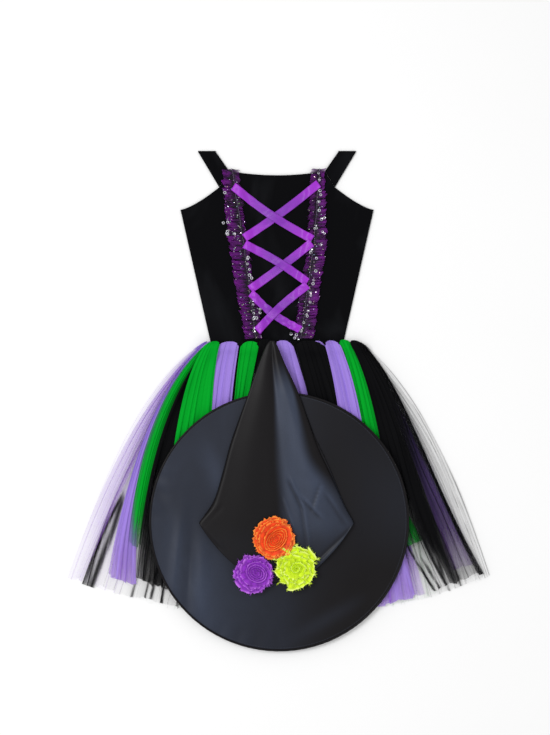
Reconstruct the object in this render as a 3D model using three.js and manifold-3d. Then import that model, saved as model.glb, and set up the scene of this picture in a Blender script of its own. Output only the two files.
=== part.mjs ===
// A child's witch costume laid flat on a table: a dress with a velvet bodice and a skirt of tulle
// strips, and a pointed hat pressed flat on top of the skirt.
// Millimetres, +Z up off the table. +Y points to the neckline and +X to the right of the front.
// While the pieces are made, X = 0 is the middle of the bodice and Y = 0 the waist seam. The last
// lines move the origin to the table under the middle of the whole costume.
import * as THREE from "three";
import Module from "manifold-3d";
import { mergeVertices } from "three/addons/utils/BufferGeometryUtils.js";

const wasm = await Module();
wasm.setup();

// Driving dimensions
const GAP = 0.35; // air between two cloths that touch
const WALL = { velvet: 1.6, tulle: 1, organza: 1.2, ribbon: 1, brim: 1.5, crown: 1.2, petal: 2 };

const BODICE = {
  waistHalf: 94,
  underarmHalf: 137,
  underarmY: 189,
  armholeHalf: 82, // from the middle to the outer root of the strap
  armholeY: 221,
  armholeCurve: 1.15, // 1 is a straight armhole
  neckHalf: 68,
  neckY: 244,
  frontDip: 6, // how far each neckline sinks between the straps
  backDip: 14,
  puff: 2, // how far the front stands off the back
};
// The strap's root stands a little off the front's edge
const STRAP = { topY: 272.6, innerTop: 87, outerTop: 112, leadX: 0.22, leadY: 0.38 };

const RUFFLE = {
  topY: 247,
  bottomY: 7,
  stitchTop: 63, // the gathering stitches, from the middle
  stitchBottom: 34,
  outer: 16, // width of the flounce on each side of the stitches
  inner: 13,
  waves: 20,
  outerRise: 3,
  innerRise: 2.2,
  stitchRise: 0.4,
  sway: 1.4,
};

const RIBBON_WIDTH = 12;

const FAN = {
  waistLeft: -102,
  waistRight: 115,
  waistY: -0.4,
  kneeLeft: -209,
  kneeRight: 244,
  kneeY: -194,
  kneeRiseLeft: 114,
  kneeRiseRight: 80,
  hemLeft: -297,
  hemRight: 302,
  hemY: -393,
  hemRise: 64,
};
const BACK_STRIPS = 8;
const PLEAT = { rise: 1.5, atWaist: 0.5, puff: 1.6, puffEnd: 0.22, overWaist: 0.012 };

const HAT = { x: 3, y: -253, radius: 184, mouth: 84, edge: 3, tilt: 0.026 };
const RING_STATIONS = 48; // round the brim
const EDGE_SIDES = 8; // round the section of its bound edge
// The two folds pressed along the crown's front, as shares of its half width
const FOLD = { rightAt: 0.3, rightWidth: 0.3, leftAt: -0.55, leftWidth: 0.22, leftHeight: 0.6 };
const ROSETTE = {
  turns: 4.5,
  stations: 64,
  base: 2,
  backingInset: 3,
  heart: 1.8, // radius that the band leaves free in the middle
  bandInset: 3.2,
  foot: 0.8, // the band's lower edge above the table side of the backing
  leanIn: 1.2,
  leanOut: 1.1,
  rimHeight: 9,
  heartHeight: 14,
  ruffles: 7,
  ruffleDepth: 0.7,
};

const COLOUR = {
  velvet: 0x0b0b0d,
  lilac: 0x9d7be0,
  green: 0x0f9a2c,
  black: 0x101014,
  organza: 0x45125f,
  ribbon: 0x8a2fc4,
  satin: 0x23262f,
  orange: 0xf4480d,
  purple: 0x8c32c8,
  lime: 0xc6fa1e,
};
const SHINE = { velvet: 0.95, ribbon: 0.35, satin: 0.5 };

// Tulle strips in the order in which they are laid, left to right being 0 to 1 across the fan.
// Each edge runs from the waist past a knee to the hem, and length is 1 for the whole way down.
const COLUMNS = [
  "name", "cloth", "waistLeft", "waistRight", "kneeLeft",
  "kneeRight", "hemLeft", "hemRight", "length", "pleats",
];
const STRIPS = [
  ["base_1", "black", 0.0, 0.13, 0.03, 0.17, 0.03, 0.17, 1, 1],
  ["base_2", "black", 0.14, 0.27, 0.18, 0.31, 0.18, 0.31, 0.985, 1],
  ["base_3", "black", 0.28, 0.41, 0.32, 0.44, 0.32, 0.44, 1, 1],
  ["base_4", "black", 0.42, 0.55, 0.45, 0.57, 0.45, 0.57, 0.99, 1],
  ["base_5", "black", 0.56, 0.69, 0.58, 0.7, 0.58, 0.7, 1, 1],
  ["base_6", "black", 0.7, 0.83, 0.71, 0.83, 0.71, 0.835, 0.985, 1],
  ["base_7", "black", 0.84, 0.98, 0.84, 0.97, 0.845, 0.985, 1, 1],
  ["lilac_1", "lilac", -0.02, 0.004, 0.0, 0.04, 0.0, 0.078, 1, 2],
  ["lilac_2", "lilac", 0.006, 0.03, 0.045, 0.09, 0.085, 0.155, 0.955, 2],
  ["green_1", "green", 0.032, 0.055, 0.06, 0.1, 0.12, 0.165, 0.84, 2],
  ["black_1", "black", 0.057, 0.088, 0.1, 0.2, 0.15, 0.25, 0.96, 2],
  ["lilac_3", "lilac", 0.09, 0.225, 0.26, 0.29, 0.27, 0.35, 0.95, 2],
  ["green_2", "green", -0.02, 0.1, 0.17, 0.3, 0.22, 0.29, 0.93, 2],
  ["black_2", "black", 0.34, 0.46, 0.38, 0.5, 0.42, 0.53, 0.97, 2],
  ["green_3", "green", 0.235, 0.355, 0.31, 0.29, 0.35, 0.43, 0.94, 2],
  ["lilac_4", "lilac", 0.45, 0.565, 0.52, 0.68, 0.5, 0.6, 0.95, 2],
  ["lilac_5", "lilac", 0.7, 0.78, 0.76, 0.8, 0.74, 0.85, 0.97, 2],
  ["green_4", "green", 0.87, 0.965, 0.74, 0.8, 0.8, 0.875, 0.8, 2],
  ["black_3", "black", 0.56, 0.775, 0.6, 0.74, 0.6, 0.71, 0.96, 2],
  ["lilac_6", "lilac", 0.765, 0.88, 0.66, 0.75, 0.7, 0.775, 0.95, 2],
  ["lilac_7", "lilac", 0.98, 1.01, 0.93, 0.99, 0.93, 0.98, 0.93, 2],
  ["black_4", "black", 0.955, 1.02, 0.83, 0.91, 0.835, 0.935, 0.98, 2],
  ["black_5", "black", 1.0, 1.035, 0.96, 1.0, 0.955, 1.0, 1, 2],
].map((row) => Object.fromEntries(COLUMNS.map((column, k) => [column, row[k]])));

// The crown of the hat, pressed flat: loops from the mouth to the tip. Its front runs over the mouth
// and its back away from it, and the two meet at the sides. lift is how far apart they stand.
const CROWN = [
  { left: -84, right: 90, side: -253, front: -340, back: -166, lift: 0, ridge: 0 },
  { left: -100, right: 101, side: -254, front: -336, back: -163, lift: 4, ridge: 0.3 },
  { left: -110, right: 108, side: -254, front: -318, back: -159, lift: 5.4, ridge: 0.8 },
  { left: -91, right: 94, side: -228, front: -278, back: -148, lift: 5.8, ridge: 1.2 },
  { left: -78, right: 77, side: -190, front: -226, back: -131, lift: 5.2, ridge: 1.8 },
  { left: -67, right: 58, side: -149, front: -173, back: -110, lift: 4.2, ridge: 2 },
  { left: -54, right: 44, side: -110, front: -122, back: -84, lift: 3.6, ridge: 1.8 },
  { left: -40, right: 30, side: -70, front: -75, back: -58, lift: 3.4, ridge: 1.4 },
  { left: -26, right: 11.5, side: -30, front: -31, back: -26, lift: 3.4, ridge: 0.8 },
  { left: -16, right: 1, side: -5, front: -5, back: -3, lift: 3.4, ridge: 0.3 },
  { left: -10, right: -3.5, side: 3, front: 3, back: 3.5, lift: 3, ridge: 0 },
];

const RIBBONS = [
  { name: "ribbon_1_under", from: [63, 229], to: [-46, 149], bow: 2 },
  { name: "ribbon_1_over", from: [-62, 222], to: [50, 147], bow: -4 },
  { name: "ribbon_2_under", from: [49, 142], to: [-38, 76], bow: 1 },
  { name: "ribbon_2_over", from: [-46, 140], to: [43, 86], bow: 3 },
  { name: "ribbon_3_under", from: [-38, 71], to: [33, 19], bow: -3 },
  { name: "ribbon_3_over", from: [43, 82], to: [-28, 17], bow: -3 },
];

const ROSETTES = [
  { name: "rosette_orange", colour: "orange", x: -4, y: -276, radius: 28.5 },
  { name: "rosette_purple", colour: "purple", x: -34.5, y: -327.5, radius: 28 },
  { name: "rosette_lime", colour: "lime", x: 31, y: -321.5, radius: 28.5 },
];

const mix = (a, b, t) => a + (b - a) * t;
const clamp01 = (t) => Math.min(1, Math.max(0, t));
const steps = (count) => Array.from({ length: count + 1 }, (_, k) => k / count);

// The pile: how high the cloth laid so far reaches, over a 1 mm grid of the table
const TABLE = { left: -340, right: 340, low: -460, high: 300 };
const PROBE_STEP = 1.5;
const TABLE_WIDTH = TABLE.right - TABLE.left + 1;
const pile = new Float32Array(TABLE_WIDTH * (TABLE.high - TABLE.low + 1));
const pileIndex = (x, y) => (y - TABLE.low) * TABLE_WIDTH + (x - TABLE.left);

function pileAt(x, y) {
  const [column, row] = [Math.round(x), Math.round(y)];
  let top = 0;
  for (let b = row - 1; b <= row + 1; b++)
    for (let a = column - 1; a <= column + 1; a++) {
      top = Math.max(top, pile[pileIndex(a, b)]);
    }
  return top;
}

// The highest point of the pile under the four-sided cell a, b, c, d, taken in order round it
function peakUnder(a, b, c, d) {
  const long = Math.ceil(Math.max(a.distanceTo(d), b.distanceTo(c)) / PROBE_STEP);
  const wide = Math.ceil(Math.max(a.distanceTo(b), d.distanceTo(c)) / PROBE_STEP);
  let top = 0;
  for (const t of steps(Math.max(1, long)))
    for (const u of steps(Math.max(1, wide))) {
      const x = mix(mix(a.x, b.x, u), mix(d.x, c.x, u), t);
      const y = mix(mix(a.y, b.y, u), mix(d.y, c.y, u), t);
      top = Math.max(top, pileAt(x, y));
    }
  return top;
}

// Raises the pile under one triangle of a cloth's upper side
function heap(a, b, c) {
  const area = (b.y - c.y) * (a.x - c.x) + (c.x - b.x) * (a.y - c.y);
  const leastArea = 1e-9;
  if (Math.abs(area) < leastArea) return;
  const edge = 0.02;
  const [xLow, xHigh] = [Math.floor(Math.min(a.x, b.x, c.x)), Math.ceil(Math.max(a.x, b.x, c.x))];
  const [yLow, yHigh] = [Math.floor(Math.min(a.y, b.y, c.y)), Math.ceil(Math.max(a.y, b.y, c.y))];
  for (let y = yLow; y <= yHigh; y++)
    for (let x = xLow; x <= xHigh; x++) {
      const wa = ((b.y - c.y) * (x - c.x) + (c.x - b.x) * (y - c.y)) / area;
      const wb = ((c.y - a.y) * (x - c.x) + (a.x - c.x) * (y - c.y)) / area;
      const wc = 1 - wa - wb;
      if (Math.min(wa, wb, wc) < -edge) continue;
      const k = pileIndex(x, y);
      pile[k] = Math.max(pile[k], wa * a.z + wb * b.z + wc * c.z);
    }
}

function heapGrid(grid) {
  for (let i = 0; i + 1 < grid.length; i++)
    for (let j = 0; j + 1 < grid[i].length; j++) {
      heap(grid[i][j], grid[i][j + 1], grid[i + 1][j + 1]);
      heap(grid[i][j], grid[i + 1][j + 1], grid[i + 1][j]);
    }
}

const heapRings = (rings) => heapGrid(rings.map((ring) => [...ring, ring[0]]));

// A closed geometry from points and faces, with its faces turned outwards
function closedGeometry(points, faces) {
  const triangles = faces.flatMap(([a, b, c, d]) =>
    d === undefined ? [[a, b, c]] : [[a, b, c], [a, c, d]],
  );
  const volume = triangles.reduce(
    (sum, [a, b, c]) => sum + points[a].dot(new THREE.Vector3().crossVectors(points[b], points[c])),
    0,
  );
  const index = triangles.flatMap(([a, b, c]) => (volume < 0 ? [a, c, b] : [a, b, c]));
  const geometry = new THREE.BufferGeometry().setFromPoints(points);
  geometry.setIndex(index);
  return geometry;
}

// A wall between two grids of points that match. A closed grid joins its last column to its first.
function wallGeometry(upper, lower, closed = false) {
  const rows = upper.length;
  const columns = upper[0].length;
  const [foot, end] = [rows - 1, columns - 1];
  const points = [...upper.flat(), ...lower.flat()];
  const top = (i, j) => i * columns + (j % columns);
  const under = (i, j) => rows * columns + top(i, j);
  const faces = [];
  const across = closed ? columns : end;
  for (let i = 0; i + 1 < rows; i++)
    for (let j = 0; j < across; j++) {
      faces.push([top(i, j), top(i, j + 1), top(i + 1, j + 1), top(i + 1, j)]);
      faces.push([under(i, j), under(i + 1, j), under(i + 1, j + 1), under(i, j + 1)]);
    }
  for (let j = 0; j < across; j++) {
    faces.push([top(0, j), under(0, j), under(0, j + 1), top(0, j + 1)]);
    faces.push([top(foot, j), top(foot, j + 1), under(foot, j + 1), under(foot, j)]);
  }
  for (let i = 0; i + 1 < rows && !closed; i++) {
    faces.push([top(i, 0), top(i + 1, 0), under(i + 1, 0), under(i, 0)]);
    faces.push([top(i, end), under(i, end), under(i + 1, end), top(i + 1, end)]);
  }
  return closedGeometry(points, faces);
}

const costume = new THREE.Group();

function addPiece(name, geometry, colour, finish) {
  const material = new THREE.MeshStandardMaterial({
    color: COLOUR[colour],
    roughness: SHINE[finish] ?? 0.8,
    metalness: 0,
  });
  const mesh = new THREE.Mesh(geometry, material);
  mesh.name = name;
  costume.add(mesh);
}

// Lays a cloth on the pile. plan is a grid of points seen from above, and lift(i, j) holds each one
// off what is under it. A vertex clears everything under the cells round it, so no cell cuts in.
function lay(plan, wall, lift) {
  const peaks = plan.slice(1).map((row, i) =>
    row.slice(1).map((corner, j) => peakUnder(plan[i][j], plan[i][j + 1], corner, row[j])),
  );
  const peakAt = (i, j) => peaks[i]?.[j] ?? 0;
  const lower = plan.map((row, i) =>
    row.map((point, j) => {
      const peak = Math.max(peakAt(i - 1, j - 1), peakAt(i - 1, j), peakAt(i, j - 1), peakAt(i, j));
      return new THREE.Vector3(point.x, point.y, (peak > 0 ? peak + GAP : 0) + lift(i, j));
    }),
  );
  const upper = lower.map((row) => row.map((p) => new THREE.Vector3(p.x, p.y, p.z + wall)));
  heapGrid(upper);
  return wallGeometry(upper, lower);
}

// Spreads a cloth flat on the table
function spread(plan, wall) {
  const upper = plan.map((row) => row.map((p) => new THREE.Vector3(p.x, p.y, wall)));
  heapGrid(upper);
  return wallGeometry(upper, plan);
}

// The skirt
function fanPoint(across, down) {
  const side = 2 * across - 1;
  const kneeRise = side < 0 ? FAN.kneeRiseLeft : FAN.kneeRiseRight;
  const hemX = mix(FAN.hemLeft, FAN.hemRight, across);
  const hemMiddle = (FAN.hemLeft + FAN.hemRight) / 2;
  const hemHalf = (FAN.hemRight - FAN.hemLeft) / 2;
  const kneeX = mix(FAN.kneeLeft, FAN.kneeRight, across);
  const kneeY = FAN.kneeY + kneeRise * side * side;
  const hemY = FAN.hemY + FAN.hemRise * ((hemX - hemMiddle) / hemHalf) ** 2;
  const x = bend(mix(FAN.waistLeft, FAN.waistRight, across), kneeX, hemX, down);
  return new THREE.Vector3(x, bend(FAN.waistY, kneeY, hemY, down), 0);
}

// A value that runs from the waist to the hem and is drawn towards the knee's
function bend(waist, knee, hem, down) {
  const up = 1 - down;
  return up * up * waist + 2 * up * down * knee + down * down * hem;
}

function backStrip(k) {
  const plan = steps(8).map((down) => {
    const seam = GAP / 2 / (fanPoint(1, down).x - fanPoint(0, down).x);
    const [left, right] = [k / BACK_STRIPS + seam, (k + 1) / BACK_STRIPS - seam];
    return steps(2).map((u) => fanPoint(mix(left, right, u), down));
  });
  return spread(plan, WALL.tulle);
}

const DOWN_ROWS = [0, 0.025, 0.06, 0.12, 0.2, 0.32, 0.48, 0.66, 0.84, 1];

function pleatedStrip(strip) {
  const base = strip.name.startsWith("base");
  const first = base ? 0 : -PLEAT.overWaist;
  const across = steps(base ? 4 : 4 * strip.pleats);
  const downs = DOWN_ROWS.map((row) => mix(first, strip.length, row));
  const plan = downs.map((down) =>
    across.map((u) => {
      const left = bend(strip.waistLeft, strip.kneeLeft, strip.hemLeft, down);
      const right = bend(strip.waistRight, strip.kneeRight, strip.hemRight, down);
      return fanPoint(mix(left, right, u), down);
    }),
  );
  const rise = base ? PLEAT.rise / 2 : PLEAT.rise;
  const puff = base ? 0 : PLEAT.puff;
  return lay(plan, WALL.tulle, (i, j) => {
    const down = clamp01(downs[i]);
    const u = across[j];
    const pleat = (1 - Math.cos(2 * Math.PI * strip.pleats * u)) / 2;
    const swell = Math.sin(Math.PI * clamp01(down / PLEAT.puffEnd)) * Math.sqrt(4 * u * (1 - u));
    return rise * mix(PLEAT.atWaist, 1, down) * pleat + puff * swell;
  });
}

// The bodice. Its side seams are straight, and a column of the grid runs through each corner.
const CORNERS = [BODICE.neckHalf / BODICE.underarmHalf, BODICE.armholeHalf / BODICE.underarmHalf];
const BODICE_COLUMNS = [0, 0.25, ...CORNERS, 0.8, 1]
  .flatMap((u) => (u === 0 ? [0] : [-u, u]))
  .sort((a, b) => a - b);

function topEdge(x, dip) {
  const { neckHalf, neckY, armholeHalf, armholeY, underarmHalf, underarmY, armholeCurve } = BODICE;
  const out = Math.abs(x);
  if (out <= neckHalf) return neckY - dip * (1 - (out / neckHalf) ** 2);
  if (out <= armholeHalf) return mix(neckY, armholeY, (out - neckHalf) / (armholeHalf - neckHalf));
  const inward = (underarmHalf - out) / (underarmHalf - armholeHalf);
  return mix(underarmY, armholeY, inward ** armholeCurve);
}

function bodicePlan(dip, ups) {
  return ups.map((up) =>
    BODICE_COLUMNS.map((u) => {
      const x = BODICE.underarmHalf * u;
      return new THREE.Vector3(mix(BODICE.waistHalf * u, x, up), topEdge(x, dip) * up, 0);
    }),
  );
}

function bodiceFront() {
  const ups = steps(8);
  return lay(bodicePlan(BODICE.frontDip, ups), WALL.velvet, (i, j) => {
    return BODICE.puff * (1 - BODICE_COLUMNS[j] ** 2) * Math.sin(Math.PI * ups[i]);
  });
}

// A strap runs up from the front, folds over a straight edge and comes down to the back.
function strapGeometry(side) {
  const foldRadius = (WALL.velvet + GAP) / 2;
  const lead = new THREE.Vector2(STRAP.leadX, STRAP.leadY);
  const root = [
    new THREE.Vector2(BODICE.neckHalf, BODICE.neckY),
    new THREE.Vector2(BODICE.armholeHalf, BODICE.armholeY),
  ];
  const topY = STRAP.topY - foldRadius - WALL.velvet / 2;
  const tip = [new THREE.Vector2(STRAP.innerTop, topY), new THREE.Vector2(STRAP.outerTop, topY)];
  const turns = [90, 45, 0, -45, -90].map((degrees) => THREE.MathUtils.degToRad(degrees));
  const stations = [
    { at: 0, turn: turns[0] },
    { at: 0.5, turn: turns[0] },
    ...turns.map((turn) => ({ at: 1, turn })),
    { at: 0.5, turn: turns[4] },
    { at: 0, turn: turns[4] },
  ];
  const middle = WALL.velvet / 2 + foldRadius;
  const faceAt = (offset) =>
    stations.map(({ at, turn }) =>
      [0, 1].map((edge) => {
        const p = root[edge].clone().add(lead).lerp(tip[edge], at);
        const reach = foldRadius + offset;
        const [y, z] = [p.y + reach * Math.cos(turn), middle + reach * Math.sin(turn)];
        return new THREE.Vector3(side * p.x, y, z);
      }),
    );
  const outside = faceAt(WALL.velvet / 2);
  heapGrid(outside);
  return wallGeometry(outside, faceAt(-WALL.velvet / 2));
}

// A gathered frill: the stitches hold it down and both its edges wave
function ruffleGeometry(side) {
  const rows = steps(4 * RUFFLE.waves);
  const columns = [
    { out: RUFFLE.outer, rise: RUFFLE.outerRise, phase: 0, sway: RUFFLE.sway },
    { out: RUFFLE.outer / 2, rise: RUFFLE.outerRise * 0.6, phase: 0, sway: 0 },
    { out: 0, rise: RUFFLE.stitchRise, phase: 0, sway: 0 },
    { out: -RUFFLE.inner, rise: RUFFLE.innerRise, phase: Math.PI / 2, sway: RUFFLE.sway },
  ];
  const wave = (t, phase) => 2 * Math.PI * RUFFLE.waves * t + phase;
  const plan = rows.map((t) =>
    columns.map((column) => {
      const stitch = mix(RUFFLE.stitchTop, RUFFLE.stitchBottom, t);
      const out = stitch + column.out + column.sway * Math.sin(wave(t, column.phase));
      return new THREE.Vector3(side * out, mix(RUFFLE.topY, RUFFLE.bottomY, t));
    }),
  );
  return lay(plan, WALL.organza, (i, j) => {
    const column = columns[j];
    return (column.rise * (1 - Math.cos(wave(rows[i], column.phase)))) / 2;
  });
}

function ribbonGeometry(ribbon) {
  const from = new THREE.Vector2(...ribbon.from);
  const to = new THREE.Vector2(...ribbon.to);
  const along = to.clone().sub(from).normalize();
  const sideways = new THREE.Vector2(-along.y, along.x);
  const plan = steps(8).map((t) =>
    [-1, 1].map((edge) => {
      const reach = (edge * RIBBON_WIDTH) / 2 + ribbon.bow * Math.sin(Math.PI * t);
      const p = from.clone().lerp(to, t).addScaledVector(sideways, reach);
      return new THREE.Vector3(p.x, p.y);
    }),
  );
  return lay(plan, WALL.ribbon, () => 0);
}

// The hat. Its stiff brim rests on the highest cloth under it, and slopes down to the hem.
function ringPoint(radius, turn) {
  const angle = 2 * Math.PI * turn;
  return new THREE.Vector3(HAT.x + radius * Math.cos(angle), HAT.y + radius * Math.sin(angle), 0);
}

function brimLevel() {
  let level = 0;
  for (const turn of steps(360))
    for (const out of steps(80)) {
      const p = ringPoint(mix(HAT.mouth, HAT.radius, out), turn);
      level = Math.max(level, pileAt(p.x, p.y) - HAT.tilt * p.y);
    }
  return level + GAP;
}

const turnsOf = (count) => steps(count).slice(0, -1);

function brimGeometry(level) {
  const radii = [HAT.mouth, (HAT.mouth + HAT.radius) / 2, HAT.radius - HAT.edge - GAP];
  const face = (height) =>
    radii.map((radius) =>
      turnsOf(RING_STATIONS).map((turn) => {
        const p = ringPoint(radius, turn);
        return p.setZ(level + height + HAT.tilt * p.y);
      }),
    );
  const upper = face(WALL.brim);
  heapRings(upper);
  return wallGeometry(upper, face(0), true);
}

function edgeGeometry(level) {
  const radius = HAT.edge / 2;
  const section = turnsOf(EDGE_SIDES).map((turn) => {
    const angle = 2 * Math.PI * (turn + 1 / 2 / EDGE_SIDES);
    return [HAT.radius - radius + radius * Math.cos(angle), radius + radius * Math.sin(angle)];
  });
  const rings = section.map(([out, height]) =>
    turnsOf(RING_STATIONS).map((turn) => {
      const p = ringPoint(out, turn);
      return p.setZ(level + height + HAT.tilt * p.y);
    }),
  );
  const cover = [HAT.radius - HAT.edge, HAT.radius].map((reach) =>
    turnsOf(RING_STATIONS).map((turn) => {
      const p = ringPoint(reach, turn);
      return p.setZ(level + HAT.edge + HAT.tilt * p.y);
    }),
  );
  heapRings(cover);
  const points = rings.flat();
  const faces = rings.flatMap((ring, i) =>
    ring.map((_, j) => {
      const row = i * RING_STATIONS;
      const next = ((i + 1) % rings.length) * RING_STATIONS;
      const beside = (j + 1) % RING_STATIONS;
      return [row + j, row + beside, next + beside, next + j];
    }),
  );
  return closedGeometry(points, faces);
}

const bump = (x, middle, width) => Math.exp(-(((x - middle) / width) ** 2));

// One loop of the crown, with flat faces and round ends, drawn in by inset
function crownLoop(section, inset, floor) {
  const middle = (section.left + section.right) / 2;
  const half = (section.right - section.left) / 2 - inset;
  const flat = section.lift === 0;
  const height = flat ? 0 : section.lift - 2 * inset;
  const low = flat ? 0 : inset;
  const round = flat ? half / 50 : height / 2;
  const straight = half - round;
  const side = steps(6).map((t) => mix(-straight, straight, t));
  const end = [45, 0, -45].map((degrees) => THREE.MathUtils.degToRad(degrees));
  const loop = [
    ...side.map((x) => ({ x, share: 1 })),
    ...end.map((a) => ({ x: straight + round * Math.cos(a), share: (1 + Math.sin(a)) / 2 })),
    ...side.toReversed().map((x) => ({ x, share: 0 })),
    ...end
      .toReversed()
      .map((a) => ({ x: -straight - round * Math.cos(a), share: (1 + Math.sin(a)) / 2 })),
  ];
  return loop.map(({ x, share }) => {
    const rim = Math.sqrt(Math.max(0, 1 - (x / half) ** 2));
    const reach = mix(section.back + inset, section.front + inset, share) - section.side;
    const y = section.side + reach * rim;
    const out = x / half;
    const left = FOLD.leftHeight * bump(out, FOLD.leftAt, FOLD.leftWidth);
    const ridge = bump(out, FOLD.rightAt, FOLD.rightWidth) + left;
    const rise = low + height * share + section.ridge * ridge * share * rim;
    return new THREE.Vector3(middle + x, y, floor(middle + x, y) + rise);
  });
}

function crownGeometry(level) {
  // The crown lies on the brim, and past the brim's edge on whatever stands higher
  const onBrim = (x, y) => level + WALL.brim + GAP + HAT.tilt * y;
  const margin = 2;
  const onPile = CROWN.map((_, k) => {
    const near = CROWN.slice(Math.max(0, k - 1), k + 2);
    const low = Math.min(...near.map((s) => s.front));
    const high = Math.max(...near.map((s) => s.back)) + margin;
    const left = Math.min(...near.map((s) => s.left)) - margin;
    const right = Math.max(...near.map((s) => s.right)) + margin;
    let peak = 0;
    for (let y = low; y <= high; y++)
      for (let x = left; x <= right; x++) {
        peak = Math.max(peak, pileAt(x, y) - HAT.tilt * y);
      }
    return peak + GAP;
  });
  const floorOf = (k) => (x, y) => Math.max(onBrim(x, y), onPile[k] + HAT.tilt * y);
  const outer = CROWN.map((section, k) => crownLoop(section, 0, floorOf(k)));
  const inner = CROWN.slice(0, -1).map((section, k) => crownLoop(section, WALL.crown, floorOf(k)));
  const count = outer[0].length;
  const points = [...outer.flat(), ...inner.flat()];
  const out = (k, i) => k * count + (i % count);
  const inside = (k, i) => (outer.length + k) * count + (i % count);
  const faces = [];
  for (let i = 0; i < count; i++) {
    for (let k = 0; k + 1 < outer.length; k++) {
      faces.push([out(k, i), out(k, i + 1), out(k + 1, i + 1), out(k + 1, i)]);
    }
    for (let k = 0; k + 1 < inner.length; k++) {
      faces.push([inside(k, i), inside(k + 1, i), inside(k + 1, i + 1), inside(k, i + 1)]);
    }
    faces.push([out(0, i), inside(0, i), inside(0, i + 1), out(0, i + 1)]);
  }
  faces.push(...capFaces(outer.length - 1, out, count));
  faces.push(...capFaces(inner.length - 1, inside, count).map((face) => face.toReversed()));
  heapGrid(outer.map((ring) => ring.slice(0, 7)));
  return closedGeometry(points, faces);
}

// Closes a flat loop with strips from its upper side to its lower side
function capFaces(k, point, count) {
  const faces = [];
  for (let a = 0, b = count - 1; a + 1 < b; a++, b--) {
    const four = [a, a + 1, b - 1, b];
    const corners = a + 1 === b - 1 ? [a, a + 1, b] : four;
    faces.push(corners.map((i) => point(k, i)));
  }
  return faces;
}

function solidOf(geometry) {
  const bare = new THREE.BufferGeometry().setAttribute("position", geometry.getAttribute("position"));
  bare.setIndex(geometry.getIndex());
  const sameWithin = 1e-4;
  const merged = mergeVertices(bare, sameWithin);
  return new wasm.Manifold(
    new wasm.Mesh({
      numProp: 3,
      vertProperties: merged.attributes.position.array,
      triVerts: new Uint32Array(merged.index.array),
    }),
  );
}

function geometryOf(solid) {
  const mesh = solid.getMesh();
  const geometry = new THREE.BufferGeometry();
  geometry.setAttribute("position", new THREE.BufferAttribute(new Float32Array(mesh.vertProperties), 3));
  geometry.setIndex(new THREE.BufferAttribute(new Uint32Array(mesh.triVerts), 1));
  return geometry;
}

// The highest point of the pile under a rosette
function restUnder(rosette) {
  let top = 0;
  for (const turn of steps(60))
    for (const out of steps(20)) {
      const angle = 2 * Math.PI * turn;
      const reach = rosette.radius * out;
      const [x, y] = [rosette.x + reach * Math.cos(angle), rosette.y + reach * Math.sin(angle)];
      top = Math.max(top, pileAt(x, y));
    }
  return top;
}

// A frayed chiffon rosette: a ruffled band wound in a spiral on a round backing
function rosetteGeometry(rosette) {
  const wound = rosette.radius - ROSETTE.bandInset - ROSETTE.heart;
  const level = restUnder(rosette) + GAP;
  const band = steps(ROSETTE.stations).map((t) => {
    const angle = 2 * Math.PI * ROSETTE.turns * t;
    const middle = rosette.radius - ROSETTE.bandInset - wound * t;
    const top = mix(ROSETTE.rimHeight, ROSETTE.heartHeight, t);
    const ruffle = ROSETTE.ruffleDepth * Math.sin(ROSETTE.ruffles * angle) * (1 - t);
    const at = (reach, height) =>
      new THREE.Vector3(
        rosette.x + reach * Math.cos(angle),
        rosette.y + reach * Math.sin(angle),
        level + height,
      );
    const half = WALL.petal / 2;
    const [foot, rim] = [middle - ROSETTE.leanIn, middle + ROSETTE.leanOut + ruffle];
    return [
      at(foot - half, ROSETTE.foot),
      at(foot + half, ROSETTE.foot),
      at(rim + half, top),
      at(rim - half, top),
    ];
  });
  const faces = [];
  const corners = [0, 1, 2, 3];
  for (let i = 0; i + 1 < band.length; i++) {
    const [here, next] = [4 * i, 4 * (i + 1)];
    for (const j of corners) {
      const beside = (j + 1) % 4;
      faces.push([here + j, here + beside, next + beside, next + j]);
    }
  }
  faces.push(corners.toReversed(), corners.map((j) => 4 * (band.length - 1) + j));
  const spiral = solidOf(closedGeometry(band.flat(), faces));
  const backing = rosette.radius - ROSETTE.backingInset;
  const disc = new THREE.CylinderGeometry(backing, backing, ROSETTE.base, 20);
  disc.rotateX(Math.PI / 2).translate(rosette.x, rosette.y, level + ROSETTE.base / 2);
  disc.deleteAttribute("normal").deleteAttribute("uv");
  return geometryOf(spiral.add(solidOf(disc)));
}

// Laid in order, from the table up
for (let k = 0; k < BACK_STRIPS; k++) {
  const cloth = ["lilac", "black", "green", "black"][k % 4];
  addPiece(`back_${k + 1}_${cloth}`, backStrip(k), cloth);
}
addPiece("bodice_back", spread(bodicePlan(BODICE.backDip, steps(2)), WALL.velvet), "velvet", "velvet");
addPiece("bodice_front", bodiceFront(), "velvet", "velvet");
addPiece("strap_left", strapGeometry(-1), "velvet", "velvet");
addPiece("strap_right", strapGeometry(1), "velvet", "velvet");
addPiece("ruffle_left", ruffleGeometry(-1), "organza");
addPiece("ruffle_right", ruffleGeometry(1), "organza");
for (const ribbon of RIBBONS) addPiece(ribbon.name, ribbonGeometry(ribbon), "ribbon", "ribbon");
for (const strip of STRIPS) addPiece(`skirt_${strip.name}`, pleatedStrip(strip), strip.cloth);
const level = brimLevel();
addPiece("hat_brim", brimGeometry(level), "satin", "satin");
addPiece("hat_edge", edgeGeometry(level), "satin", "satin");
addPiece("hat_crown", crownGeometry(level), "satin", "satin");
for (const rosette of ROSETTES) addPiece(rosette.name, rosetteGeometry(rosette), rosette.colour);

const box = new THREE.Box3().setFromObject(costume);
const centre = box.getCenter(new THREE.Vector3());
for (const mesh of costume.children) mesh.position.set(-centre.x, -centre.y, -box.min.z);

export default costume;
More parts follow.
